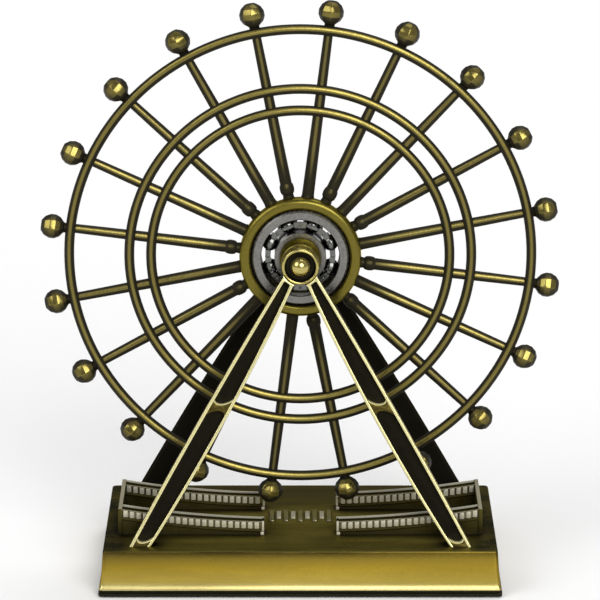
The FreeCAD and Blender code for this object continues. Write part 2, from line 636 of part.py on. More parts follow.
def build():
    """Every node's shape, by name."""
    rims = {name: make_rim(radius) for name, radius in RIM_RADII.items()}
    plain_spoke = make_spoke(False)
    collared_spoke = make_spoke(True)
    capsule = make_capsule()
    front_frame = make_front_frame()
    right_ramp = make_right_ramp()
    nodes = {
        "felt_pad": make_felt(),
        "base_plate": make_plate(),
        "base_body": make_plinth(),
        "frame_screws": make_screws(),
        "right_ramp": right_ramp,
        "left_ramp": mirrored(right_ramp, ACROSS),
        "front_frame": front_frame,
        "rear_frame": mirrored(front_frame, AXLE),
        "axle_pin": lifted(make_pin()),
        "axle_sleeve": lifted(make_sleeve()),
        "axle_spacers": lifted(make_spacers()),
        "bearing_inner_race": lifted(make_inner_race()),
        "bearing_outer_race": lifted(make_outer_race()),
        "bearing_balls": lifted(make_balls()),
        "bearing_cage_front": lifted(make_cage_half(-1)),
        "bearing_cage_rear": lifted(make_cage_half(1)),
        "hub": lifted(make_hub()),
    }
    for name, rim in rims.items():
        nodes[name] = lifted(rim)
    for number in range(SPOKE_COUNT):
        spoke = collared_spoke if number % 2 else plain_spoke
        nodes["spoke_%02d" % (number + 1)] = at_spoke(spoke, number)
        nodes["capsule_%02d" % (number + 1)] = at_spoke(capsule, number)
    return nodes


os.makedirs("parts", exist_ok=True)
for node, shape in build().items():
    shape.exportStep("parts/" + node + ".step")
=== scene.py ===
import math

import bmesh
import bpy
from mathutils import Matrix, Vector


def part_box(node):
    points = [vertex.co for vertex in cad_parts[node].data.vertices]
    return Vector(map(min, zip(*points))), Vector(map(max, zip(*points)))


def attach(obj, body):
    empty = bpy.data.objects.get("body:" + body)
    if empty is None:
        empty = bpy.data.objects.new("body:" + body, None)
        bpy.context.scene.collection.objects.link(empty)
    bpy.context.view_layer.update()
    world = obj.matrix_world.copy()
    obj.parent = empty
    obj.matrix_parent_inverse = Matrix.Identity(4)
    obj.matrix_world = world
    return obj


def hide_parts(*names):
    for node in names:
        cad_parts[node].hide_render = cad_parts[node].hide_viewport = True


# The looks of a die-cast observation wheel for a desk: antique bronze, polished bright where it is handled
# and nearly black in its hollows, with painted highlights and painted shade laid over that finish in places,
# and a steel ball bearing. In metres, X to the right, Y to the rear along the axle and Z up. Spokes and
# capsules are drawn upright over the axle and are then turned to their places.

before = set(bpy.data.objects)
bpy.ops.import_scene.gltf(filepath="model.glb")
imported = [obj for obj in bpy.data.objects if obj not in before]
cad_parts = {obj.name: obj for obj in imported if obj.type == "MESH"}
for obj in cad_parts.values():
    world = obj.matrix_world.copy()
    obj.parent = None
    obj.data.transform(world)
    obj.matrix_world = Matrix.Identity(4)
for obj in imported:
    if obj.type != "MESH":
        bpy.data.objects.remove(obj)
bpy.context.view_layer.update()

MM = 0.001
WELD = 1e-7  # points closer than this become one
HAIR = 0.01 * MM  # room for telling on which plane a face lies

# ---------- places taken from the frame

SPOKE_COUNT = sum(name.startswith("spoke_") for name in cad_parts)
FIRST_SPOKE_ANGLE = math.radians(7.0)


def middle(node):
    """The middle of a node's box."""
    low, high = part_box(node)
    return (low + high) / 2


def span(node):
    """The size of a node's box."""
    low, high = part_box(node)
    return high - low


AXLE_Z = middle("hub").z
CENTRE = Vector((0, 0, AXLE_Z))
ROD_RADIUS = span("outer_rim").y / 2
RIM_Y = middle("outer_rim").y
RIM_RADII = {name: span(name).x / 2 - ROD_RADIUS for name in ("inner_rim", "middle_rim", "outer_rim")}
SPOKE_Y = middle("spoke_01").y
HUB_RADIUS = span("hub").x / 2
BEARING_FRONT_Y, BEARING_REAR_Y = [corner.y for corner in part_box("hub")]
BEARING_Y = (BEARING_FRONT_Y + BEARING_REAR_Y) / 2
BEARING_RADIUS = span("bearing_outer_race").x / 2
INNER_LAND_RADIUS = span("bearing_inner_race").x / 2
BORE_RADIUS = span("axle_sleeve").x / 2
SPACER_RADIUS = span("axle_spacers").x / 2
PIN_HEAD_RADIUS = span("axle_pin").x / 2
PIN_TOP_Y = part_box("axle_pin")[1].y
HEAD_INNER_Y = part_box("axle_spacers")[1].y
PLATE_TOP_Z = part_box("base_plate")[1].z
PLINTH_TOP_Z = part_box("right_ramp")[0].z
RAMP_LOW, RAMP_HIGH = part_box("right_ramp")

# ---------- sizes the frame doesn't give

# Bearing
BALL_RADIUS = 1.8 * MM
BALL_COUNT = 8
BALL_SEAT = 0.35 * MM  # how far a ball sits in each race
BALL_CLEARANCE = 0.04 * MM  # in the races' grooves
OUTER_LAND_RADIUS = INNER_LAND_RADIUS + 2 * (BALL_RADIUS - BALL_SEAT)
PITCH_RADIUS = (INNER_LAND_RADIUS + OUTER_LAND_RADIUS) / 2
RACE_INSET = 0.05 * MM  # of the races' faces behind the hub's
RACE_CHAMFER = 0.75 * MM  # at the outer race's outer corners
BORE_CHAMFER = 0.3 * MM  # at the inner race's bore
BORE_CLEARANCE = 0.02 * MM  # around the sleeve
LAND_CHAMFER = 0.15 * MM  # beside the balls, on both races
CAGE_STRIP = 0.32 * MM  # thickness of the cage's metal
CAGE_WIDTH = 1.2 * MM  # of its links, along the radius
CAGE_STRAP = 0.65 * MM  # of the straps over the balls
STRAP_REACH = 0.75 * BALL_RADIUS  # from a ball's middle to where its strap widens
CAGE_LINK_RISE = 1.5 * MM  # of the links in front of the balls' middle plane
CAGE_BALL_CLEARANCE = 0.12 * MM
CAGE_PROBE = 0.1 * MM  # a short step for the ribbon's direction at its ends
RIVET_RADIUS = 0.32 * MM

# Hub and axle
HUB_BAND = 2.4 * MM  # from the front face to where the taper starts
HUB_TAPER = 1.4 * MM  # off the radius, at the rear
HUB_ROLL = 0.7 * MM  # of the front edge
HUB_BORE_CHAMFER = 0.35 * MM
AXLE_BORE_RADIUS = 2.0 * MM
SPACER_TAPER = 0.35 * MM  # off the radius, towards the frame's head
SPACER_CHAMFER = 0.25 * MM
HEAD_RADIUS = 4.1 * MM
HEAD_OUTER_Y = HEAD_INNER_Y + 3.6 * MM
HEAD_EDGE = (0.3 * MM, 0.35 * MM)  # the outer edge's bevel, across and deep
HEAD_REAR_EDGE = 0.2 * MM
HEAD_BORE_RADIUS = 1.6 * MM
DISH_RADIUS = 3.3 * MM  # hollow in the head around the pin's dome
DISH_DEPTH = 1.6 * MM
DISH_DRAFT = 0.15 * MM  # of its wall
DISH_LIP = (0.1 * MM, 0.6 * MM)  # flare at the outer edge, across and deep
DOME_RADIUS = PIN_HEAD_RADIUS + 0.2 * MM
DOME_RISE = 0.7 * MM  # over the CAD's pin head
DOME_TIP = 0.02 * MM  # radius of the hole left at the dome's middle

# Legs; a run is a distance down the frame's plane from the axle, and widths are level
FOOT_X = 35.1 * MM
FOOT_STEP_OUT = 9.8 * MM
LEG_DROP = AXLE_Z - PLINTH_TOP_Z
LEG_LEAN = math.atan2(FOOT_STEP_OUT, LEG_DROP)
LEG_RUN = math.hypot(FOOT_STEP_OUT, LEG_DROP)
LEG_START = 1.8 * MM
LEG_SINK = 0.6 * MM  # of the foot into the plinth
LEG_TOP_X = 1.05 * MM
LEG_WIDTHS = (2.7 * MM, 5.7 * MM, 4.7 * MM)  # at the head, middle and foot
LEG_BOW = 0.45 * MM  # of the middle line towards the other leg
LEG_THICKNESS = 3.6 * MM
LEG_EDGE = 0.2 * MM  # rounding of the face's edges
HEAD_LAP = 0.1 * MM  # of the leg's top into the head
FLOOR_LAP = 0.2 * MM  # of the pocket's floor into the face's plate
FLOOR_EDGE = 0.15 * MM
POCKET_DEPTH = 2.5 * MM
POCKET_BORDER = 0.8 * MM
POCKET_START = 3.2 * MM
POCKET_SINK = 0.1 * MM  # of its end into the plinth
POCKET_HEAD_GAP = 0.4 * MM  # between the head and the pocket
POCKET_SPLIT = 0.501  # where the web lies, as a share of the leg
POCKET_WEB = 1.5 * MM
POCKET_BULGE = 1.9 * MM  # of the web's and the foot wall's edges
POCKET_FOOT_WALL = 0.9 * MM
BAR_SETBACK = 0.1 * MM  # of the web and the foot wall behind the leg's face
BAR_SINK = 0.4 * MM  # of the foot wall into the plinth
BAR_LAP = 0.3 * MM  # of their ends in the borders, and the rounding of their edges

# Plinth
PLINTH_TOP_LENGTH = 86.3 * MM
PLINTH_TOP_DEPTH = 45.0 * MM
PLINTH_CORNER = 0.9 * MM
PLINTH_FOOT = ((0.0, 0.0), (0.3, 0.0), (0.55, 0.10), (0.9, 0.20), (1.4, 0.26))  # (rise, inset) in mm
PLINTH_EDGE = ((0.4, 0.0), (0.15, 0.06), (0.03, 0.2), (0.0, 0.4))  # (drop from the top, inset) in mm
LIP_GROOVE = ((0.75, 0.0), (0.62, 0.12), (0.55, 0.5), (0.0, 0.5))  # the same, of the plate
LIP_CHAMFER = 0.1 * MM
STRIP_LENGTH = 14.4 * MM
STRIP_PITCH = 1.6 * MM
STRIP_RIB = 1.05 * MM
STRIP_Y = (-3.2 * MM, 4.2 * MM)
STRIP_SHORTER = (2.0 * MM, 0.8 * MM)  # of every second rib, in front and behind
STRIP_HEIGHT = 0.35 * MM
STRIP_SINK = 0.2 * MM  # of the ribs into the plinth
STRIP_EDGE = 0.12 * MM

# Ramps
ARM_WIDTH = 3.6 * MM
ARM_HEIGHTS = (3.1 * MM, 4.0 * MM, 6.1 * MM)  # inner end, middle and outer end
ARM_STATIONS = 24
RAIL_WALL = 0.7 * MM
RAIL_CAP = 0.22 * MM  # of the rail over the comb
RAIL_HIGHLIGHT = 0.3 * MM  # height of the rear rail's inner face painted pale as a highlight
WALKWAY_DEPTH = 0.9 * MM
COMB_HEIGHT = 1.5 * MM
COMB_PITCH = 1.42 * MM
COMB_DEPTH = 0.45 * MM
COMB_START = 0.9 * MM  # from the inner end
COMB_FOOT = RAIL_CAP + COMB_HEIGHT
LEDGE_DROPS = (COMB_FOOT + 0.45 * MM, COMB_FOOT + 0.6 * MM, COMB_FOOT + 0.85 * MM)
LEDGE_REACH = 0.3 * MM  # of the ledge under the comb, from the wall
TOOTH_WIDTH = 1.02 * MM
TOOTH_SETBACK = 0.12 * MM  # behind the arm's front face
TOOTH_LAP = 0.05 * MM
TOOTH_EDGE = 0.12 * MM
POST_LENGTH = 0.5 * MM
POST_EDGE = 0.1 * MM
NUB_LENGTH = 0.8 * MM
NUB_HEIGHT = 0.75 * MM
NUB_EDGE = 0.2 * MM
NUB_REACH = 0.3 * MM  # before and behind the arm's front face
REAR_EDGE = 0.08 * MM
END_WALL = 0.9 * MM
END_WALL_EDGE = 0.14 * MM
GROUND_LAP = 0.05 * MM  # of a ramp's pieces into the plinth

# Rims and spokes; a root's points are (distance from the hub, diameter) in mm
RIM_STEPS = 240
ROD_SIDES = 20
SPOKE_ROOT = ((-0.3, 3.0), (0.25, 2.7), (1.0, 2.65))
SPOKE_TIP = 2.0 * MM  # diameter
COLLAR_ROOT = ((-0.3, 2.6), (0.55, 2.3))
COLLAR_END = ((3.35, 2.6),)
COLLAR_OUT = 1.95 * MM  # from the hub to the ball's middle
COLLAR_RADIUS = 1.2 * MM
COLLAR_NECK = 2.35 * MM  # diameter where the ball starts
COLLAR_SWELL = 0.7  # what the diameter gains for the rise of the ball's arc

# Capsules: (distance from the outer rim's rod, size across the corners) in mm
CAPSULE_SIDES = 8
CAPSULE_STATIONS = ((-0.5, 2.3), (0.35, 2.3), (0.55, 2.7), (1.25, 4.45), (2.3, 5.5), (3.45, 5.5), (4.6, 4.4),
                    (5.4, 2.4))
CAPSULE_NECK = 0.7 * MM  # length of the stem, painted near-black as the shade between bead and rim
CAPSULE_EDGE = 0.1 * MM

# Stage
FLOOR_REACH = 6.0
LAMP_WIDTH = math.radians(40)

# ---------- mesh helpers


def placed(name, data):
    """A new object in the scene."""
    made = bpy.data.objects.new(name, data)
    bpy.context.scene.collection.objects.link(made)
    return made


def make_object(name, mesh, metals, body, replaced):
    """An object for a mesh, or a list joined into one, riding on a body and standing for CAD nodes."""
    if isinstance(mesh, list):
        mesh = merged(name, mesh)
    piece = placed(name, mesh)
    for metal in metals if isinstance(metals, tuple) else (metals,):
        mesh.materials.append(metal)
    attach(piece, body)
    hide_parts(*replaced)


def finished(bm, name, matrix=None, smooth_below=40):
    """A mesh from a bmesh, moved by a matrix, smooth where faces meet at less than an angle in degrees."""
    if matrix is not None:
        bmesh.ops.transform(bm, matrix=matrix, verts=bm.verts)
    bmesh.ops.recalc_face_normals(bm, faces=bm.faces)
    limit = math.radians(smooth_below)
    for face in bm.faces:
        face.smooth = True
    for edge in bm.edges:
        edge.smooth = len(edge.link_faces) == 2 and edge.calc_face_angle(0) < limit
    mesh = bpy.data.meshes.new(name)
    bm.to_mesh(mesh)
    bm.free()
    return mesh


def merged(name, meshes):
    """One mesh from several."""
    bm = bmesh.new()
    for mesh in meshes:
        bm.from_mesh(mesh)
        bpy.data.meshes.remove(mesh)
    whole = bpy.data.meshes.new(name)
    bm.to_mesh(whole)
    bm.free()
    return whole


def painted(mesh, choose):
    """The mesh with each face's material, by its place in the list, as choose(middle, normal) gives it."""
    for face in mesh.polygons:
        face.material_index = choose(face.center, face.normal)
    return mesh


def loft(name, rings, around=False, smooth_below=40, matrix=None):
    """A skin through rings of as many points each, closed at its ends, or with its ends joined."""
    bm = bmesh.new()
    loops = [[bm.verts.new(point) for point in ring] for ring in rings]
    pairs = list(zip(loops, loops[1:]))
    if around:
        pairs.append((loops[-1], loops[0]))
    for first, second in pairs:
        for index in range(len(first)):
            after = (index + 1) % len(first)
            bm.faces.new((first[index], first[after], second[after], second[index]))
    if not around:
        bm.faces.new(loops[0])
        bm.faces.new(loops[-1])
    return finished(bm, name, matrix, smooth_below)


def about_axle(radius, y, angle):
    """The point at a radius from the axle and an angle from the top, to the right."""
    return (radius * math.sin(angle), y, radius * math.cos(angle) + AXLE_Z)


def turned(name, profile, steps=160):
    """A ring about the axle from a closed outline of (radius, y) points."""
    angles = [2 * math.pi * step / steps for step in range(steps)]
    rings = [[about_axle(radius, y, angle) for radius, y in profile] for angle in angles]
    return loft(name, rings, around=True)


def arc(radius, middle_u, middle_v, start, end, steps):
    """Points of an arc about (middle_u, middle_v), between two angles in degrees."""
    angles = [math.radians(start + (end - start) * step / steps) for step in range(steps + 1)]
    return [(middle_u + radius * math.cos(angle), middle_v + radius * math.sin(angle)) for angle in angles]


def circle(radius, middle_u, middle_v, sides):
    """Points of a whole circle."""
    return arc(radius, middle_u, middle_v, 0, 360 - 360 / sides, sides - 1)


def rounded(corners, radius, steps=3):
    """A closed outline with its corners rounded, by points (u, v)."""
    outline = []
    count = len(corners)
    for index, corner in enumerate(corners):
        here = Vector(corner)
        before = Vector(corners[index - 1]) - here
        after = Vector(corners[(index + 1) % count]) - here
        reach = min(radius, before.length * 0.45, after.length * 0.45)
        start, end = here + before.normalized() * reach, here + after.normalized() * reach
        for step in range(steps + 1):
            t = step / steps
            outline.append(tuple(start * (1 - t) ** 2 + here * 2 * t * (1 - t) + end * t ** 2))
    return outline


def to_spoke(number):
    """The matrix from the upright spoke's place to a spoke's own."""
    turn = FIRST_SPOKE_ANGLE + number * 2 * math.pi / SPOKE_COUNT
    return Matrix.Translation(CENTRE) @ Matrix.Rotation(turn, 4, "Y")


def scaled(start, points):
    """A rod's stations from (distance from the start, diameter) points in mm."""
    return [(start + distance * MM, size * MM) for distance, size in points]


def rod(name, sides, stations, y, matrix, smooth_below=40):
    """A rod along the upright spoke's line through (height, diameter) stations."""
    rings = [[(u, v, height) for u, v in circle(diameter / 2, 0, y, sides)] for height, diameter in stations]
    return loft(name, rings, smooth_below=smooth_below, matrix=matrix)


def bevelled(mesh, width, above):
    """A copy of a mesh with its edges of more than an angle in degrees rounded."""
    bm = bmesh.new()
    bm.from_mesh(mesh)
    bmesh.ops.remove_doubles(bm, verts=bm.verts, dist=WELD)
    edges = [e for e in bm.edges if len(e.link_faces) == 2 and e.calc_face_angle(0) > math.radians(above)]
    bmesh.ops.bevel(bm, geom=edges, offset=width, segments=2, profile=0.5, affect="EDGES", clamp_overlap=True)
    name = mesh.name
    bpy.data.meshes.remove(mesh)
    return finished(bm, name)


def slab(face, outlines, front, depth, bevel):
    """A flat plate with rounded edges from closed outlines of (u, v) points in the XY plane of a matrix, the
    face; inner outlines are holes. It starts at a distance behind the face and goes on for the depth."""
    curve = bpy.data.curves.new("slab", "CURVE")
    curve.dimensions = "2D"
    curve.fill_mode = "BOTH"
    curve.extrude = depth / 2 - bevel
    curve.bevel_depth = bevel
    curve.bevel_resolution = 2
    curve.offset = -bevel
    for outline in outlines:
        spline = curve.splines.new("POLY")
        spline.points.add(len(outline) - 1)
        for point, (u, v) in zip(spline.points, outline):
            point.co = (u, v, 0, 1)
        spline.use_cyclic_u = True
    holder = placed("slab", curve)
    bpy.context.view_layer.update()
    mesh = bpy.data.meshes.new_from_object(holder.evaluated_get(bpy.context.evaluated_depsgraph_get()))
    bpy.data.objects.remove(holder)
    bpy.data.curves.remove(curve)
    bm = bmesh.new()
    bm.from_mesh(mesh)
    bpy.data.meshes.remove(mesh)
    bmesh.ops.remove_doubles(bm, verts=bm.verts, dist=WELD)
    return finished(bm, "slab", face @ Matrix.Translation((0, 0, -front - depth / 2)))


def brick(low, high, bevel):
    """A box between two corners with rounded edges."""
    bm = bmesh.new()
    bmesh.ops.create_cube(bm, size=1)
    size = Vector(high) - Vector(low)
    place = Matrix.Translation((Vector(low) + Vector(high)) / 2) @ Matrix.Diagonal((*size, 1))
    bmesh.ops.transform(bm, matrix=place, verts=bm.verts)
    bmesh.ops.bevel(bm, geom=list(bm.edges), offset=bevel, segments=2, profile=0.5, affect="EDGES")
    return finished(bm, "brick")


# ---------- materials


class Nodes:
    """Short calls for building one material's nodes."""

    def __init__(self, name):
        self.material = bpy.data.materials.new(name)
        self.material.use_nodes = True
        self.tree = self.material.node_tree
        self.shader = self.tree.nodes["Principled BSDF"]

    def value(self, socket, source):
        """A number, colour or another node's output into a socket."""
        if hasattr(source, "is_linked"):
            self.tree.links.new(source, socket)
        else:
            socket.default_value = source

    def look(self, name, source):
        """The same, into one of the shader's sockets."""
        self.value(self.shader.inputs[name], source)

    def node(self, kind, sources, **settings):
        """A new node with its settings, and the sources of its sockets by their names or places."""
        made = self.tree.nodes.new("ShaderNode" + kind)
        for key, value in settings.items():
            setattr(made, key, value)
        for socket, source in sources.items():
            self.value(made.inputs[socket], source)
        return made

    def noise(self, scale, detail=4.0, rough=0.5, stretch=(1, 1, 1)):
        """Noise over the object's own space, scale in features per metre."""
        place = self.node("TexCoord", {}).outputs["Object"]
        mapped = self.node("Mapping", {"Vector": place, "Scale": stretch}).outputs["Vector"]
        made = self.node("TexNoise", {"Vector": mapped, "Scale": scale, "Detail": detail, "Roughness": rough})
        return made.outputs["Fac"]

    def math(self, operation, a, b=0.0, clamp=False):
        return self.node("Math", {0: a, 1: b}, operation=operation, use_clamp=clamp).outputs[0]

    def times(self, a, b):
        return self.math("MULTIPLY", a, b)

    def plus(self, a, b, clamp=False):
        return self.math("ADD", a, b, clamp)

    def minus(self, a, b, clamp=False):
        return self.math("SUBTRACT", a, b, clamp)

    def ramp(self, source, low, high, to_low=0.0, to_high=1.0):
        """A number that goes smoothly from one value to another while the source goes from low to high."""
        ends = {"Value": source, "From Min": low, "From Max": high, "To Min": to_low, "To Max": to_high}
        return self.node("MapRange", ends, interpolation_type="SMOOTHSTEP").outputs["Result"]

    def mix(self, factor, a, b):
        return self.node("Mix", {"Factor": factor, "A": a, "B": b}, data_type="RGBA").outputs["Result"]

    def bump(self, height, strength, distance):
        made = self.node("Bump", {"Strength": strength, "Distance": distance, "Height": height})
        self.look("Normal", made.outputs["Normal"])

    def stops(self, source, marks):
        """A colour that changes along a number through (position, colour) marks."""
        made = self.node("ValToRGB", {"Fac": source})
        scale = made.color_ramp
        for index, (position, colour) in enumerate(marks):
            mark = scale.elements[index] if index < 2 else scale.elements.new(position)
            mark.position = position
            mark.color = colour
        return made.outputs["Color"]

    def part(self, source, axis):
        """One of the three numbers of a vector."""
        return self.node("SeparateXYZ", {0: source}).outputs[axis]

    def normal(self, axis):
        return self.part(self.node("NewGeometry", {}).outputs["Normal"], axis)

    def place(self, axis):
        return self.part(self.node("TexCoord", {}).outputs["Object"], axis)


def rgb(red, green, blue):
    """A colour socket's value."""
    return (red, green, blue, 1.0)


def cavity(nodes, reach):
    """1 on open surfaces, falling to 0 in hollows about as wide as the reach."""
    return nodes.node("AmbientOcclusion", {"Distance": reach}, samples=8).outputs["AO"]


def rubbed_and_lit(nodes):
    """1 where a surface faces front or back, where a cloth rubs it bright, and a little up towards the key
    lamp as a painted highlight; less elsewhere, which paints the dark reflection at the sides of rods and
    beads.
    """
    level = nodes.times(nodes.math("ABSOLUTE", nodes.normal("Y")), math.cos(PAINTED_LIGHT_TILT))
    return nodes.plus(level, nodes.times(nodes.normal("Z"), math.sin(PAINTED_LIGHT_TILT)))


def along_rod(nodes):
    """As rubbed_and_lit, and lower towards the hub, so that the rods render darker there."""
    across, up = nodes.place("X"), nodes.minus(nodes.place("Z"), AXLE_Z)
    square = nodes.plus(nodes.times(across, across), nodes.times(up, up))
    outward = nodes.ramp(nodes.math("SQRT", square), 14 * MM, 25 * MM, 0.91, 1.0)
    return nodes.times(rubbed_and_lit(nodes), outward)


def off_wheel(nodes):
    """1 where a surface faces away from the wheel, -1 where it faces the wheel."""
    return nodes.times(nodes.normal("Y"), nodes.math("SIGN", nodes.place("Y")))


def worn_edges_and_underside_shade(nodes):
    """As off_wheel, and low where a surface lies well behind the frame's face, and where it faces downwards,
    which is painted shade under it.
    """
    # painted shade on faces that point downwards
    under = nodes.math("MINIMUM", nodes.plus(nodes.normal("Z"), 0.1), 0.0)
    level = nodes.plus(off_wheel(nodes), nodes.times(under, 4.0))
    drop = nodes.minus(AXLE_Z, nodes.place("Z"))
    face = nodes.plus(nodes.times(drop, math.tan(LEG_LEAN)), HEAD_OUTER_Y)
    behind = nodes.minus(face, nodes.math("ABSOLUTE", nodes.place("Y")))
    return nodes.minus(level, nodes.ramp(behind, 0.6 * MM, 2.4 * MM, 0.0, 0.5))


def roughened(nodes, rough, fine, blotches, grain):
    """The roughness with fine marks in it, and a bump from the same marks and the blotches."""
    nodes.look("Roughness", nodes.plus(rough, nodes.ramp(fine, 0.3, 0.8, -0.04, 0.08), clamp=True))
    nodes.bump(nodes.plus(fine, nodes.times(blotches, 2.0)), grain, 0.05 * MM)


def antique(name, bright, dark, facing=None, relief=(0.35, 0.85), hollow=(0.35, 0.85), reach=2.0 * MM,
            smooth=(0.26, 0.55), grain=0.25, metal=1.0, gloss=0.3):
    """Antique bronze, polished bright where handled, and dark in hollows as wide as the reach and where the
    facing is low;
    several facings also paint highlights and shade. The relief and the hollow are the values between which
    the facing and the openness go from dark to bright, and smooth is the roughness where the metal is bright
    and where it isn't."""
    nodes = Nodes(name)
    blotches = nodes.noise(260, detail=6, rough=0.6)
    fine = nodes.noise(2600, rough=0.6)
    open_face = nodes.ramp(cavity(nodes, reach), *hollow)
    worn_and_lit = nodes.times(open_face, nodes.ramp(blotches, 0.25, 0.6, 0.72, 1.0))
    if facing:
        worn_and_lit = nodes.times(worn_and_lit, nodes.ramp(facing(nodes), *relief))
    worn_and_lit = nodes.minus(worn_and_lit, nodes.ramp(fine, 0.5, 0.75, 0.0, 0.10), clamp=True)
    toned = nodes.mix(nodes.ramp(blotches, 0.35, 0.7), bright, rgb(*[0.8 * part for part in bright[:3]]))
    nodes.look("Base Color", nodes.mix(worn_and_lit, dark, toned))
    nodes.look("Metallic", nodes.ramp(worn_and_lit, 0.0, 1.0, 0.1, metal))
    nodes.look("Specular Tint", SHEEN)
    nodes.look("Specular IOR Level", gloss)
    roughened(nodes, nodes.ramp(worn_and_lit, 0.0, 1.0, smooth[1], smooth[0]), fine, blotches, grain)
    return nodes.material


def steel(name, colour, smooth, lathe=0.0):
    """Bare ground steel, darkened in its corners as painted shade and with slight random stains, turned marks
    if asked.
    """
    nodes = Nodes(name)
    fine = nodes.noise(1800, detail=5, rough=0.6)
    # corners darken towards near-black: painted shade
    open_face = nodes.ramp(cavity(nodes, 1.2 * MM), 0.25, 0.8)
    unstained_and_unshaded = nodes.times(open_face, nodes.ramp(fine, 0.3, 0.65, 0.7, 1.0))
    nodes.look("Base Color", nodes.mix(unstained_and_unshaded, rgb(0.03, 0.03, 0.028), colour))
    nodes.look("Metallic", 1.0)
    nodes.look("Roughness", nodes.ramp(fine, 0.3, 0.8, smooth - 0.05, smooth + 0.12))
    if lathe:
        rings = nodes.noise(5000, detail=2, stretch=(1, 0.02, 1))
        nodes.bump(rings, lathe, 0.02 * MM)
    return nodes.material


def felt(name):
    """Short dark fibres."""
    nodes = Nodes(name)
    fibres = nodes.noise(3500, detail=8, rough=0.75)
    nodes.look("Base Color", nodes.mix(nodes.ramp(fibres, 0.3, 0.7), rgb(0.008, 0.008, 0.009),
                                       rgb(0.035, 0.035, 0.038)))
    nodes.look("Roughness", 0.95)
    nodes.look("Sheen Weight", 0.4)
    nodes.bump(fibres, 0.8, 0.2 * MM)
    return nodes.material


def plinth_finish(name):
    """The plinth: brushed gold sides, brighter at the foot as a painted highlight and darker towards the top
    edge and the right as painted shade, and a dull brown top, darker at its ends and rear and painted darker
    as shade around what stands on it.
    """
    nodes = Nodes(name)
    blotches = nodes.noise(120, detail=6, rough=0.6)
    streaks = nodes.noise(300, detail=5, rough=0.65, stretch=(0.12, 0.6, 1))
    fine = nodes.noise(2600, rough=0.6)
    height = nodes.ramp(nodes.place("Z"), PLATE_TOP_Z, PLINTH_TOP_Z)
    height.node.interpolation_type = "LINEAR"
    # the sides brighten towards the foot, a painted highlight, and darken to near-black at the top edge,
    # painted shade
    sides = nodes.stops(height, [(0.0, rgb(0.66, 0.58, 0.25)), (0.10, rgb(0.62, 0.53, 0.21)),
                                 (0.20, rgb(0.52, 0.39, 0.080)), (0.55, rgb(0.42, 0.29, 0.030)),
                                 (0.80, rgb(0.24, 0.17, 0.026)), (0.90, rgb(0.11, 0.08, 0.014)),
                                 (0.965, rgb(0.03, 0.022, 0.006))])
    sides = nodes.mix(nodes.ramp(streaks, 0.35, 0.75, 0.0, 0.35), sides, rgb(0.25, 0.18, 0.04))
    # the right side is darker than the left: painted shade
    sides = nodes.mix(nodes.ramp(nodes.place("X"), 0.0, 40 * MM, 0.0, 0.35), sides, rgb(0.20, 0.14, 0.015))
    top = nodes.mix(nodes.ramp(streaks, 0.35, 0.7), rgb(0.17, 0.145, 0.035), rgb(0.095, 0.080, 0.021))
    # the top is darker at its two ends and towards the rear
    darker_ends = nodes.times(nodes.ramp(nodes.math("ABSOLUTE", nodes.place("X")), 36 * MM, 39.5 * MM),
                          nodes.ramp(blotches, 0.3, 0.6, 0.95, 0.55))
    rearward = nodes.ramp(nodes.place("Y"), 0.0, 15 * MM, 0.0, 0.55)
    darker_ends_and_rear = nodes.math("MAXIMUM", darker_ends, rearward)
    top = nodes.mix(darker_ends_and_rear, top, rgb(0.018, 0.019, 0.011))
    sheen = nodes.mix(darker_ends_and_rear, rgb(0.66, 0.56, 0.27), rgb(0.10, 0.11, 0.06))
    # the top around what stands on it is painted near-black as shade
    top = nodes.mix(nodes.ramp(cavity(nodes, 5 * MM), 0.35, 0.9), rgb(0.012, 0.011, 0.007), top)
    upward = nodes.ramp(nodes.normal("Z"), 0.5, 0.9)
    nodes.look("Base Color", nodes.mix(upward, sides, top))
    nodes.look("Metallic", nodes.ramp(upward, 0.0, 1.0, 1.0, 0.85))
    nodes.look("Specular Tint", sheen)
    roughened(nodes, nodes.ramp(upward, 0.0, 1.0, 0.33, 0.46), fine, blotches, 0.12)
    return nodes.material


# how far the facing mask leans up towards the key lamp: painted light
PAINTED_LIGHT_TILT = math.radians(20)
PATINA = rgb(0.010, 0.009, 0.006)
CREAM = rgb(0.98, 0.90, 0.46)
SHEEN = rgb(0.80, 0.70, 0.38)
ALL_BUT_BACK = (-0.50, -0.25)  # a relief that leaves only what faces the wheel dark
FRAME_METAL = antique("frame_bronze", CREAM, PATINA, worn_edges_and_underside_shade, ALL_BUT_BACK, hollow=(0.12, 0.45),
                      reach=1.6 * MM, smooth=(0.28, 0.5), grain=0.1)
# The rear frame's bronze is a darker, glossless copy of the front frame's, bright only where it faces
# straight back: painted shade on the frame behind the wheel.
SHADED_REAR_FRAME_METAL = antique("shaded_rear_frame_bronze", CREAM, PATINA, off_wheel, (0.80, 0.97), hollow=(0.12, 0.45),
                     reach=1.6 * MM, smooth=(0.28, 0.8), grain=0.1, gloss=0.0)
HEAD_METAL = antique("head_bronze", rgb(0.56, 0.48, 0.17), PATINA, off_wheel, ALL_BUT_BACK,
                     hollow=(0.25, 0.6), reach=1.0 * MM, smooth=(0.22, 0.5))
# A pale, mostly dull bronze for the upward faces of the legs' webs and foot walls: a painted highlight.
PAINTED_HIGHLIGHT_METAL = antique("painted_highlight_bronze", CREAM, rgb(0.30, 0.26, 0.12), hollow=(0.0, 0.2), reach=0.6 * MM,
                     smooth=(0.3, 0.5), grain=0.1, metal=0.25)
WEB_METAL = antique("web_bronze", rgb(0.11, 0.085, 0.02), PATINA, off_wheel, (0.25, 0.6), reach=1.0 * MM)
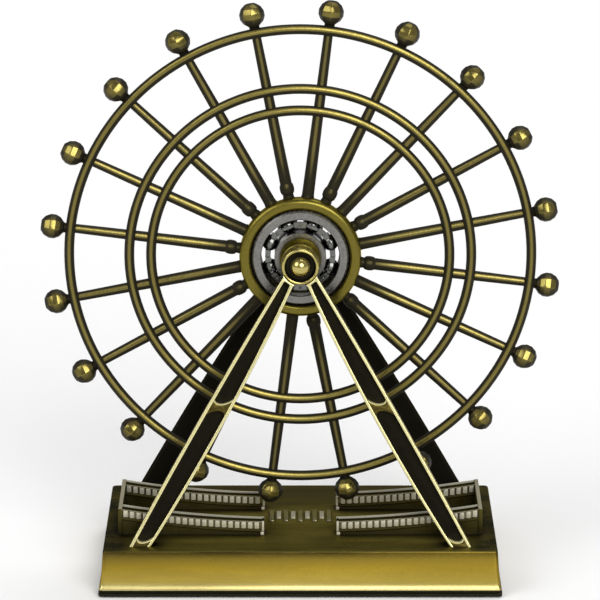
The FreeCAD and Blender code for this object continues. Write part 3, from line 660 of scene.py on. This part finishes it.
# Near-black for the legs' pockets, the heads' dishes and the capsules' stems: patina in the pockets, and
# painted shade in the pockets, dishes and stems.
SHADE_AND_PATINA_METAL = antique("shade_and_patina", rgb(0.014, 0.012, 0.008), rgb(0.004, 0.004, 0.003),
                       smooth=(0.45, 0.6))
WHEEL_METAL = antique("wheel_bronze", rgb(0.30, 0.245, 0.065), PATINA, along_rod, (0.84, 0.99),
                      smooth=(0.30, 0.6))
# The spokes' bronze is a darker copy of the rims', with narrower bright cores: painted shade on the spokes.
SHADED_SPOKE_METAL = antique("spoke_bronze", rgb(0.25, 0.205, 0.06), PATINA, along_rod, (0.86, 0.995),
                      smooth=(0.28, 0.6))
BEAD_METAL = antique("bead_bronze", rgb(0.27, 0.22, 0.06), PATINA, rubbed_and_lit, (0.60, 0.98), smooth=(0.16, 0.5))
HUB_METAL = antique("hub_bronze", rgb(0.20, 0.165, 0.030), PATINA, smooth=(0.30, 0.55))
AXLE_METAL = antique("axle_bronze", rgb(0.24, 0.20, 0.05), PATINA, hollow=(0.2, 0.6), reach=1.0 * MM,
                     smooth=(0.30, 0.5))
PIN_METAL = antique("pin_bronze", rgb(0.62, 0.52, 0.18), PATINA, smooth=(0.14, 0.4), grain=0.08)
PLINTH_METAL = plinth_finish("plinth_bronze")
RAMP_METAL = antique("ramp_bronze", rgb(0.42, 0.39, 0.28), rgb(0.016, 0.015, 0.010), hollow=(0.1, 0.5),
                     reach=0.8 * MM, smooth=(0.34, 0.55), grain=0.08, metal=0.4)
STRIP_METAL = antique("strip_bronze", rgb(0.30, 0.28, 0.17), PATINA, hollow=(0.25, 0.7), reach=0.8 * MM)
TOOTH_METAL = antique("tooth_bronze", rgb(0.60, 0.57, 0.44), rgb(0.16, 0.15, 0.10), hollow=(0.1, 0.5),
                      reach=0.5 * MM, smooth=(0.32, 0.5), grain=0.05, metal=0.3)
# Near-black for the ramps' walkways, rear faces, front rail tops, the walls under the combs and the end
# walls' sides: patina with painted shade.
WALL_SHADE_METAL = antique("ramp_wall_shade_and_patina", rgb(0.085, 0.072, 0.020), rgb(0.006, 0.006, 0.003), reach=3.0 * MM,
                     smooth=(0.42, 0.6))
LIP_METAL = antique("lip_bronze", rgb(0.028, 0.028, 0.017), rgb(0.006, 0.006, 0.005), smooth=(0.35, 0.5))
RACE_STEEL = steel("race_steel", rgb(0.24, 0.235, 0.22), 0.30, lathe=0.2)
CAGE_STEEL = steel("cage_steel", rgb(0.20, 0.20, 0.19), 0.28)
BALL_STEEL = steel("ball_steel", rgb(0.22, 0.22, 0.22), 0.08)
SCREW_STEEL = steel("screw_steel", rgb(0.40, 0.40, 0.40), 0.35)
FELT = felt("felt_fibres")

# Places in the lists of metals of a frame, a ramp and a bead
MAIN_FINISH, SHADE_AND_PATINA, HEAD, WEB, PAINTED_HIGHLIGHT = range(5)
RAIL, SHADED_WALL, COMB, TOOTH = range(4)
BARE, STEM_SHADE = range(2)

# ---------- wheel


def make_rims():
    """Three rings of round rod."""
    for name, radius in RIM_RADII.items():
        mesh = turned(name + "_ring", circle(ROD_RADIUS, radius, RIM_Y, ROD_SIDES), RIM_STEPS)
        make_object(name + "_ring", mesh, WHEEL_METAL, "wheel", [name])


def make_spokes():
    """Twenty tapered rods, every second one with a ball collar beside the hub."""
    ball = [(HUB_RADIUS + COLLAR_OUT + u, COLLAR_NECK + COLLAR_SWELL * v)
            for u, v in arc(COLLAR_RADIUS, 0, 0, 180, 15, 8)]
    plain = scaled(HUB_RADIUS, SPOKE_ROOT)
    collared = scaled(HUB_RADIUS, COLLAR_ROOT) + ball + scaled(HUB_RADIUS, COLLAR_END)
    tip = (RIM_RADII["outer_rim"] - 0.5 * ROD_RADIUS, SPOKE_TIP)
    for number in range(SPOKE_COUNT):
        node = "spoke_%02d" % (number + 1)
        stations = (collared if number % 2 else plain) + [tip]
        mesh = rod(node + "_rod", ROD_SIDES, stations, SPOKE_Y, to_spoke(number))
        make_object(node + "_rod", mesh, SHADED_SPOKE_METAL, "wheel", [node])


def make_capsules():
    """Faceted beads on short stems outside the outer rim, each stem painted near-black as the shade between
    bead and rim.
    """
    start = RIM_RADII["outer_rim"] + ROD_RADIUS
    stations = scaled(start, CAPSULE_STATIONS)
    for number in range(SPOKE_COUNT):
        node = "capsule_%02d" % (number + 1)
        mesh = rod(node + "_bead", CAPSULE_SIDES, stations, 0, to_spoke(number), smooth_below=5)
        # the stem by the rim takes the near-black metal: painted shade between bead and rim
        mesh = painted(bevelled(mesh, CAPSULE_EDGE, 12), lambda place, normal: (
            BARE if math.hypot(place.x, place.z - AXLE_Z) > start + CAPSULE_NECK else STEM_SHADE))
        make_object(node + "_bead", mesh, (BEAD_METAL, SHADE_AND_PATINA_METAL), "wheel", [node])


def make_hub():
    """The hub ring: a rolled front edge, a straight band and a taper to the rear."""
    front, rear = BEARING_FRONT_Y, BEARING_REAR_Y
    inner, outer = BEARING_RADIUS, HUB_RADIUS
    corners = [(inner, front + HUB_BORE_CHAMFER), (inner + HUB_BORE_CHAMFER, front),
               (outer - HUB_ROLL, front), (outer, front + HUB_ROLL),
               (outer, front + HUB_BAND), (outer - HUB_TAPER, rear), (inner, rear)]
    mesh = turned("hub_ring", rounded(corners, 0.5 * MM, 4))
    make_object("hub_ring", mesh, HUB_METAL, "wheel", ["hub"])


# ---------- bearing and axle


def race_section(land, far, chamfer, side):
    """A race's outline between its land and its far radius: side is 1 for the outer race and -1 for the
    inner one, which is the same turned round."""
    start, end = BEARING_FRONT_Y + RACE_INSET, BEARING_REAR_Y - RACE_INSET
    if side < 0:
        start, end = end, start
    small, large = side * LAND_CHAMFER, side * chamfer
    outline = [(land, start + small), (land + small, start), (far - large, start), (far, start + large),
               (far, end - large), (far - large, end), (land + small, end), (land, end - small)]
    reach = side * math.degrees(math.acos((BALL_RADIUS - BALL_SEAT) / BALL_RADIUS))
    groove = arc(BALL_RADIUS + BALL_CLEARANCE, 0, 0, reach, -reach, 10)
    return outline + [(PITCH_RADIUS + side * u, BEARING_Y + v) for u, v in groove]


def make_races():
    """The outer and inner races, with their grooves."""
    for name, land, far, chamfer, side, body in (
            ("outer_race", OUTER_LAND_RADIUS, BEARING_RADIUS, RACE_CHAMFER, 1, "wheel"),
            ("inner_race", INNER_LAND_RADIUS, BORE_RADIUS + BORE_CLEARANCE, BORE_CHAMFER, -1, "stand")):
        mesh = turned(name, race_section(land, far, chamfer, side))
        make_object(name, mesh, RACE_STEEL, body, ["bearing_" + name])


def make_balls():
    """The balls in their ring."""
    meshes = []
    for number in range(BALL_COUNT):
        angle = 2 * math.pi * (number + 0.5) / BALL_COUNT
        bm = bmesh.new()
        bmesh.ops.create_icosphere(bm, subdivisions=4, radius=BALL_RADIUS)
        place = about_axle(PITCH_RADIUS, BEARING_Y, angle)
        meshes.append(finished(bm, "ball", Matrix.Translation(place)))
    make_object("ball_set", meshes, BALL_STEEL, "ball_cage", ["bearing_balls"])


def cage_path(link):
    """One ball's stretch of a ribbon, from the middle of a link to the next, as (distance along the pitch
    circle, rise from the balls' middle plane) points; link is the rise of the links."""
    pocket = BALL_RADIUS + CAGE_BALL_CLEARANCE + CAGE_STRIP / 2
    half = math.pi * PITCH_RADIUS / BALL_COUNT
    turn = math.degrees(math.asin(link / pocket))
    return [(-half, link)] + arc(pocket, 0, 0, 180 - turn, turn, 20) + [(half - CAGE_PROBE, link)]


def ribbon_rings(side, link):
    """The sections of a whole ribbon of the cage; side is -1 in front and 1 behind."""
    path = cage_path(link)
    points, probe = [Vector(point) for point in path], Vector((CAGE_PROBE, 0))
    points = [points[0] - probe] + points + [points[-1] + probe]
    rings = []
    for number in range(BALL_COUNT):
        for before, (along, rise), after in zip(points, path, points[2:]):
            tangent = (after - before).normalized()
            normal = Vector((-tangent.y, tangent.x)) * CAGE_STRIP / 2
            width = CAGE_WIDTH if abs(along) > STRAP_REACH else CAGE_STRAP
            ring = []
            for across, out in ((-1, -1), (1, -1), (1, 1), (-1, 1)):
                radius = PITCH_RADIUS + across * width / 2
                angle = 2 * math.pi * (number + 0.5) / BALL_COUNT + (along + out * normal.x) / PITCH_RADIUS
                ring.append(about_axle(radius, BEARING_Y + side * (rise + out * normal.y), angle))
            rings.append(ring)
    return rings


def make_cage():
    """Two stamped ribbons: a shallow one in front of the balls, a deep one around them, riveted together."""
    for side, link, node in ((-1, CAGE_LINK_RISE, "bearing_cage_front"),
                             (1, CAGE_STRIP - CAGE_LINK_RISE, "bearing_cage_rear")):
        meshes = [loft(node, ribbon_rings(side, link), around=True, smooth_below=50)]
        seat = BEARING_Y + side * (link + CAGE_STRIP / 2)
        for number in range(BALL_COUNT):
            turn = Matrix.Rotation(2 * math.pi * number / BALL_COUNT, 4, "Y")
            place = Matrix.Translation(CENTRE) @ turn @ Matrix.Translation((0, seat, PITCH_RADIUS))
            bm = bmesh.new()
            bmesh.ops.create_uvsphere(bm, u_segments=16, v_segments=8, radius=RIVET_RADIUS)
            meshes.append(finished(bm, "rivet", place @ Matrix.Diagonal((1, 0.5, 1, 1))))
        make_object(node + "_ribbon", meshes, CAGE_STEEL, "ball_cage", [node])


def make_spacers():
    """A slightly tapered spacer on each side, between the bearing and a frame's head."""
    spacers = []
    for near, far in ((BEARING_FRONT_Y, -HEAD_INNER_Y), (BEARING_REAR_Y, HEAD_INNER_Y)):
        step = math.copysign(SPACER_CHAMFER, far - near)
        slim = SPACER_RADIUS - SPACER_TAPER
        corners = [(AXLE_BORE_RADIUS, near), (SPACER_RADIUS - SPACER_CHAMFER, near),
                   (SPACER_RADIUS, near + step), (slim, far - step),
                   (slim - SPACER_CHAMFER, far), (AXLE_BORE_RADIUS, far)]
        spacers.append(turned("spacer", rounded(corners, 0.2 * MM), steps=96))
    make_object("spacer_pair", spacers, AXLE_METAL, "stand", ["axle_spacers"])


def make_pin_heads():
    """The pin's domed heads, in the dishes of the frames' heads."""
    seat = HEAD_OUTER_Y - DISH_DEPTH
    crown = PIN_TOP_Y + DOME_RISE - seat
    dome = [(DOME_TIP, 0), (DOME_RADIUS - 0.1 * MM, 0), (DOME_RADIUS, 0.15 * crown)]
    for degrees in range(0, 89, 8):
        angle = math.radians(degrees)
        dome.append((DOME_RADIUS * math.cos(angle), crown * (0.3 + 0.7 * math.sin(angle))))
    dome.append((DOME_TIP, crown))
    heads = []
    for side in (-1, 1):
        heads.append(turned("head", [(radius, side * (seat + y)) for radius, y in dome], steps=64))
    make_object("pin_heads", heads, PIN_METAL, "stand", ["axle_pin"])


# ---------- A-frames


def leg_middle(run):
    """How far a leg's middle line is from the axle, at a run down the leg."""
    share = run / LEG_RUN
    return LEG_TOP_X + (FOOT_X - LEG_TOP_X) * share - 4 * LEG_BOW * share * (1 - share)


def leg_half_width(run):
    """Half of a leg's level width there."""
    head, waist, foot = LEG_WIDTHS
    rise = (run - LEG_RUN / 2) / (LEG_RUN / 2)
    straight = (head + foot) / 2 + (foot - head) / 2 * rise
    return (straight + (waist - (head + foot) / 2) * (1 - rise * rise)) / 2


def leg_outline(start, end, border, side, clear, steps=24):
    """A leg's or its pocket's outline as (across, down) points, kept a radius clear of the axle."""
    runs = [start + (end - start) * step / steps for step in range(steps + 1)]

    def edge(sign):
        return [(leg_middle(run) + sign * (leg_half_width(run) - border), -run) for run in runs]

    def end_line(run, sign):
        half = leg_half_width(run) - border
        return [(leg_middle(run) + sign * half * math.cos(math.pi * step / 8), -run) for step in range(1, 8)]

    outline = []
    for across, down in edge(1) + end_line(end, 1) + edge(-1)[::-1] + end_line(start, -1):
        push = max(1, clear / math.hypot(across, down))
        outline.append((side * across * push, down * push))
    return outline


def bar_outline(top, bottom, sags, hand):
    """A bar across a leg's pocket as (across, down) points: its top and bottom edges are hollowed by the
    sags, and its ends are let into the borders."""
    border = POCKET_BORDER - BAR_LAP
    outline = []
    for run, sag, order in ((top, sags[0], 1), (bottom, sags[1], -1)):
        edge = []
        for step in range(13):
            share = 1 - step / 6
            down = run - order * sag * (1 - math.sqrt(1 - share * share))
            edge.append((hand * (leg_middle(down) + share * (leg_half_width(down) - border)), -down))
        outline += edge[::order]
    return outline


def make_leg(hand, face):
    """A leg's plates, hand -1 left and 1 right: a face with one long pocket, a floor behind it, and a web
    and a foot wall across it. The face is the matrix from the leg's flat outlines to its place."""
    outer = leg_outline(LEG_START, LEG_RUN + LEG_SINK, 0, hand, HEAD_RADIUS - HEAD_LAP)
    hole = leg_outline(POCKET_START, LEG_RUN + POCKET_SINK, POCKET_BORDER, hand,
                       HEAD_RADIUS + POCKET_HEAD_GAP)
    flat = face.inverted()

    # the pocket's walls and its floor take the near-black metal: patina with painted shade
    def face_metal(place, normal):
        across, up, _ = flat @ place
        inside = abs(hand * across - leg_middle(-up)) < leg_half_width(-up) - POCKET_BORDER / 2
        inside = inside and math.hypot(across, up) > HEAD_RADIUS + POCKET_HEAD_GAP / 2
        return SHADE_AND_PATINA if inside and abs((flat.to_3x3() @ normal).z) < 0.5 else MAIN_FINISH

    def floor_metal(place, normal):
        return SHADE_AND_PATINA if (flat.to_3x3() @ normal).z > 0.5 else MAIN_FINISH

    def bar_metal(place, normal):
        # upward faces of the web and the foot wall take the pale metal: a painted highlight
        turned_up, turned_out = (flat.to_3x3() @ normal).yz
        return WEB if turned_out > 0.9 or turned_up < 0.1 else PAINTED_HIGHLIGHT

    floor = LEG_THICKNESS - POCKET_DEPTH + FLOOR_LAP
    plates = [painted(slab(face, [outer, hole], 0, POCKET_DEPTH, LEG_EDGE), face_metal),
              painted(slab(face, [outer], POCKET_DEPTH - FLOOR_LAP, floor, FLOOR_EDGE), floor_metal)]
    web, foot = LEG_RUN * POCKET_SPLIT, LEG_RUN - POCKET_FOOT_WALL
    for top, bottom, sags in ((web - POCKET_WEB / 2, web + POCKET_WEB / 2, (POCKET_BULGE, POCKET_BULGE)),
                              (foot, LEG_RUN + BAR_SINK, (POCKET_BULGE, 0))):
        outline = bar_outline(top, bottom, sags, hand)
        bar = slab(face, [outline], BAR_SETBACK, POCKET_DEPTH - BAR_SETBACK, BAR_LAP)
        plates.append(painted(bar, bar_metal))
    return plates


def make_frame(name, side):
    """An A-frame: side is -1 in front and 1 behind."""
    outward = Matrix.Rotation(math.pi / 2, 4, "X")
    if side > 0:
        outward = Matrix.Rotation(math.pi, 4, "Z") @ outward
    lean = Matrix.Rotation(side * LEG_LEAN, 4, "X")
    face = Matrix.Translation((0, side * HEAD_OUTER_Y, AXLE_Z)) @ lean @ outward
    meshes = make_leg(-1, face) + make_leg(1, face)
    outer, inner, bottom = HEAD_OUTER_Y, HEAD_INNER_Y, HEAD_OUTER_Y - DISH_DEPTH
    (flare, lip), (across, deep) = DISH_LIP, HEAD_EDGE
    head = [(DISH_RADIUS - DISH_DRAFT, bottom), (DISH_RADIUS, outer - lip),
            (DISH_RADIUS + flare, outer - flare), (HEAD_RADIUS - across, outer),
            (HEAD_RADIUS, outer - deep), (HEAD_RADIUS, inner + HEAD_REAR_EDGE),
            (HEAD_RADIUS - HEAD_REAR_EDGE, inner), (HEAD_BORE_RADIUS, inner), (HEAD_BORE_RADIUS, bottom)]
    ring = turned("head", [(radius, side * y) for radius, y in rounded(head, 0.25 * MM)], steps=96)
    dish = DISH_RADIUS + 0.05 * MM
    # the dish around the pin's dome takes the near-black metal: painted shade
    meshes.append(painted(ring, lambda place, normal: (
        SHADE_AND_PATINA if math.hypot(place.x, place.z - AXLE_Z) < dish else HEAD)))
    metals = (FRAME_METAL if side < 0 else SHADED_REAR_FRAME_METAL, SHADE_AND_PATINA_METAL, HEAD_METAL, WEB_METAL, PAINTED_HIGHLIGHT_METAL)
    make_object(name + "_casting", meshes, metals, "stand", [name])


# ---------- base


def level_ring(x, y, z):
    """A level rectangle with rounded corners, from -x to x and from -y to y."""
    return [(u, v, z) for u, v in rounded([(-x, -y), (x, -y), (x, y), (-x, y)], PLINTH_CORNER, 5)]


def make_plinth():
    """The flared plinth: a foot that sweeps out, a softened top edge and the ribbed strip."""
    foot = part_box("base_body")[1]
    height = PLINTH_TOP_Z - PLATE_TOP_Z
    sections = [(rise * MM, inset * MM) for rise, inset in PLINTH_FOOT]
    sections += [(height - drop * MM, inset * MM) for drop, inset in PLINTH_EDGE]
    rings = []
    for rise, inset in sections:
        share = rise / height
        length = foot.x + (PLINTH_TOP_LENGTH / 2 - foot.x) * share - inset
        depth = foot.y + (PLINTH_TOP_DEPTH / 2 - foot.y) * share - inset
        rings.append(level_ring(length, depth, PLATE_TOP_Z + rise))
    meshes = [loft("plinth_shell", rings, smooth_below=35)]
    count = int(STRIP_LENGTH / STRIP_PITCH)
    for number in range(count):
        x = (number - (count - 1) / 2) * STRIP_PITCH
        short = number % 2
        low = (x - STRIP_RIB / 2, STRIP_Y[0] + short * STRIP_SHORTER[0], PLINTH_TOP_Z - STRIP_SINK)
        high = (x + STRIP_RIB / 2, STRIP_Y[1] - short * STRIP_SHORTER[1], PLINTH_TOP_Z + STRIP_HEIGHT)
        meshes.append(painted(brick(low, high, STRIP_EDGE), lambda place, normal: 1 + short))
    metals = (PLINTH_METAL, STRIP_METAL, RAMP_METAL)
    make_object("plinth_shell", meshes, metals, "stand", ["base_body"])


def make_plate():
    """The closing plate: a dark lip with a groove under the plinth."""
    low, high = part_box("base_plate")
    profile = [(low.z, LIP_CHAMFER), (low.z + LIP_CHAMFER, 0)]
    profile += [(high.z - drop * MM, inset * MM) for drop, inset in LIP_GROOVE]
    rings = [level_ring(high.x - inset, high.y - inset, z) for z, inset in profile]
    make_object("plate_lip", loft("plate_lip", rings, smooth_below=35), LIP_METAL, "stand", ["base_plate"])


def arm_top(x):
    """The height of a ramp's rail at a distance from the middle of the plinth."""
    inner, middle_height, outer = ARM_HEIGHTS
    t = (x - RAMP_LOW.x) / (RAMP_HIGH.x - RAMP_LOW.x)
    curve = 2 * (inner - 2 * middle_height + outer)
    return PLINTH_TOP_Z + inner + (outer - inner - curve) * t + curve * t * t


def arm_section(front):
    """An arm's section from its front face back, as (y, drop below the rail's top) points; a drop of None
    means the ground."""
    rear, comb = front + ARM_WIDTH, front + COMB_DEPTH
    slope, edge, under = LEDGE_DROPS
    return [(front + LEDGE_REACH, None), (front + LEDGE_REACH, under), (front, edge), (front, slope),
            (comb, COMB_FOOT), (comb, RAIL_CAP), (front + TOOTH_SETBACK, RAIL_CAP),
            (front + 0.05 * MM, 0.06 * MM), (front + 0.12 * MM, 0), (front + RAIL_WALL, 0),
            (front + RAIL_WALL, WALKWAY_DEPTH), (rear - RAIL_WALL, WALKWAY_DEPTH),
            (rear - RAIL_WALL, RAIL_HIGHLIGHT), (rear - RAIL_WALL, 0),
            (rear - REAR_EDGE, 0), (rear, REAR_EDGE), (rear, None)]


def make_beam(front):
    """An arm's beam: a ledge under the comb, and a sunk walkway behind it."""
    rear, comb = front + ARM_WIDTH, front + COMB_DEPTH
    length = RAMP_HIGH.x - END_WALL + END_WALL_EDGE - RAMP_LOW.x
    rings = []
    for index in range(ARM_STATIONS + 1):
        x = RAMP_LOW.x + length * index / ARM_STATIONS
        rings.append([(x, y, PLINTH_TOP_Z - GROUND_LAP if drop is None else arm_top(x) - drop)
                      for y, drop in arm_section(front)])

    def metal(place, normal):
        y, drop = place.y, arm_top(place.x) - place.z
        # the sunk walkway, the wall under the comb, the front rail's top and the rear face take the
        # near-black metal: painted shade and dark reflection
        walkway = front + RAIL_WALL - HAIR < y < rear - RAIL_WALL + HAIR and drop > RAIL_HIGHLIGHT
        wall = drop > COMB_FOOT + 0.1 * MM and y < front + 0.7 * COMB_DEPTH
        kerb = drop < 0.1 * MM and front + 0.1 * MM < y < front + RAIL_WALL
        if walkway or wall or kerb or y > rear - HAIR:
            return SHADED_WALL
        # the top strip of the rear rail's inner face takes the pale tooth metal: a painted highlight
        if drop < RAIL_HIGHLIGHT and y > rear - RAIL_WALL - HAIR:
            return TOOTH
        return COMB if abs(y - comb) < HAIR else RAIL

    return painted(loft("beam", rings, smooth_below=30), metal)


def make_arm(front):
    """A right-hand arm from its front face back: the beam, the comb's teeth, a post at each rail's inner end
    and a nub before them."""
    inner_x, ground = RAMP_LOW.x, PLINTH_TOP_Z - GROUND_LAP
    start, end = inner_x + COMB_START, RAMP_HIGH.x - END_WALL
    count = int((end - start) / COMB_PITCH)
    bricks = []
    for number in range(count):
        x = start + (end - start) * (number + 0.5) / count
        low = (x - TOOTH_WIDTH / 2, front + TOOTH_SETBACK, arm_top(x) - COMB_FOOT - TOOTH_LAP)
        high = (x + TOOTH_WIDTH / 2, front + COMB_DEPTH + 0.1 * MM, arm_top(x) - RAIL_CAP + TOOTH_LAP)
        bricks.append(brick(low, high, TOOTH_EDGE))
    for y in (front, front + ARM_WIDTH - RAIL_WALL):
        high = (inner_x + POST_LENGTH, y + RAIL_WALL, arm_top(inner_x) + 0.02 * MM)
        bricks.append(brick((inner_x, y, ground), high, POST_EDGE))
    low = (inner_x + 0.02 * MM, front - NUB_REACH, PLINTH_TOP_Z)
    high = (low[0] + NUB_LENGTH, front + NUB_REACH, PLINTH_TOP_Z + NUB_HEIGHT)
    bricks.append(brick(low, high, NUB_EDGE))
    return [make_beam(front)] + [painted(mesh, lambda place, normal: TOOTH) for mesh in bricks]


def make_ramps():
    """The boarding ramps: two arms each and an end wall, the left a mirror image of the right."""
    metals = (RAMP_METAL, WALL_SHADE_METAL, STRIP_METAL, TOOTH_METAL)
    for node, hand in (("right_ramp", 1), ("left_ramp", -1)):
        foot = (RAMP_HIGH.x - END_WALL, RAMP_LOW.y, PLINTH_TOP_Z - GROUND_LAP)
        # the end wall's top takes the pale rail metal and its sides the near-black: painted light from above
        # and painted shade
        wall = painted(brick(foot, RAMP_HIGH, END_WALL_EDGE),
                       lambda place, normal: RAIL if normal.z > 0.5 else SHADED_WALL)
        whole = merged(node + "_casting", make_arm(RAMP_LOW.y) + make_arm(RAMP_HIGH.y - ARM_WIDTH) + [wall])
        if hand < 0:
            whole.transform(Matrix.Diagonal((-1, 1, 1, 1)))
            whole.flip_normals()
        make_object(node + "_casting", whole, metals, "stand", [node])


def dress_nodes():
    """Materials for the CAD pieces that stay as they are."""
    for node, material in (("felt_pad", FELT), ("frame_screws", SCREW_STEEL), ("axle_sleeve", AXLE_METAL)):
        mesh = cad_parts[node].data
        mesh.materials.clear()
        mesh.materials.append(material)


# ---------- light, floor and camera


def soft_sun(name, azimuth, elevation, strength):
    """A soft lamp from a direction in degrees, its azimuth to the right of the front."""
    data = bpy.data.lights.new(name, "SUN")
    data.energy = strength
    data.angle = LAMP_WIDTH
    lamp = placed(name, data)
    around, up = math.radians(azimuth), math.radians(elevation)
    source = Vector((math.sin(around) * math.cos(up), -math.cos(around) * math.cos(up), math.sin(up)))
    lamp.rotation_euler = source.to_track_quat("Z", "Y").to_euler()


def make_stage():
    """A pale floor and surround, and soft lamps."""
    mesh = bpy.data.meshes.new("floor")
    corners = [(x * FLOOR_REACH, y * FLOOR_REACH, 0) for x, y in ((-1, -1), (1, -1), (1, 1), (-1, 1))]
    mesh.from_pydata(corners, [], [(0, 1, 2, 3)])
    floor = placed("floor", mesh)
    nodes = Nodes("floor_paper")
    nodes.look("Base Color", rgb(0.92, 0.92, 0.92))
    nodes.look("Roughness", 0.9)
    nodes.look("Specular IOR Level", 0.0)
    mesh.materials.append(nodes.material)

    world = bpy.data.worlds.new("surround")
    bpy.context.scene.world = world
    world.use_nodes = True
    surround = world.node_tree.nodes["Background"]
    surround.inputs["Color"].default_value = rgb(1, 1, 1)
    surround.inputs["Strength"].default_value = 0.34

    soft_sun("key", azimuth=20, elevation=30, strength=2.0)
    soft_sun("left", azimuth=-55, elevation=35, strength=1.0)
    soft_sun("top", azimuth=150, elevation=65, strength=0.9)


def make_camera():
    """The photograph's camera: its distance from the wheel, its height and its framing."""
    distance = 0.803
    elevation = math.radians(15.12)
    focal_px, width_px = 3651, 600
    centre_px = (300.3, 255.5)
    data = bpy.data.cameras.new("camera")
    data.sensor_width = 36
    data.lens = data.sensor_width * focal_px / width_px
    data.shift_x = (width_px / 2 - centre_px[0]) / width_px
    data.shift_y = (centre_px[1] - width_px / 2) / width_px
    camera = placed("camera", data)
    back = Vector((0, -math.cos(elevation), math.sin(elevation)))
    camera.location = CENTRE + distance * back
    camera.rotation_euler = (-back).to_track_quat("-Z", "Y").to_euler()
    bpy.context.scene.camera = camera


def build():
    """The whole toy on its stage."""
    make_rims()
    make_spokes()
    make_capsules()
    make_hub()
    make_races()
    make_balls()
    make_cage()
    make_spacers()
    make_pin_heads()
    make_frame("front_frame", -1)
    make_frame("rear_frame", 1)
    make_plinth()
    make_plate()
    make_ramps()
    dress_nodes()
    make_stage()
    make_camera()
    bpy.context.scene.view_settings.view_transform = "Standard"


build()
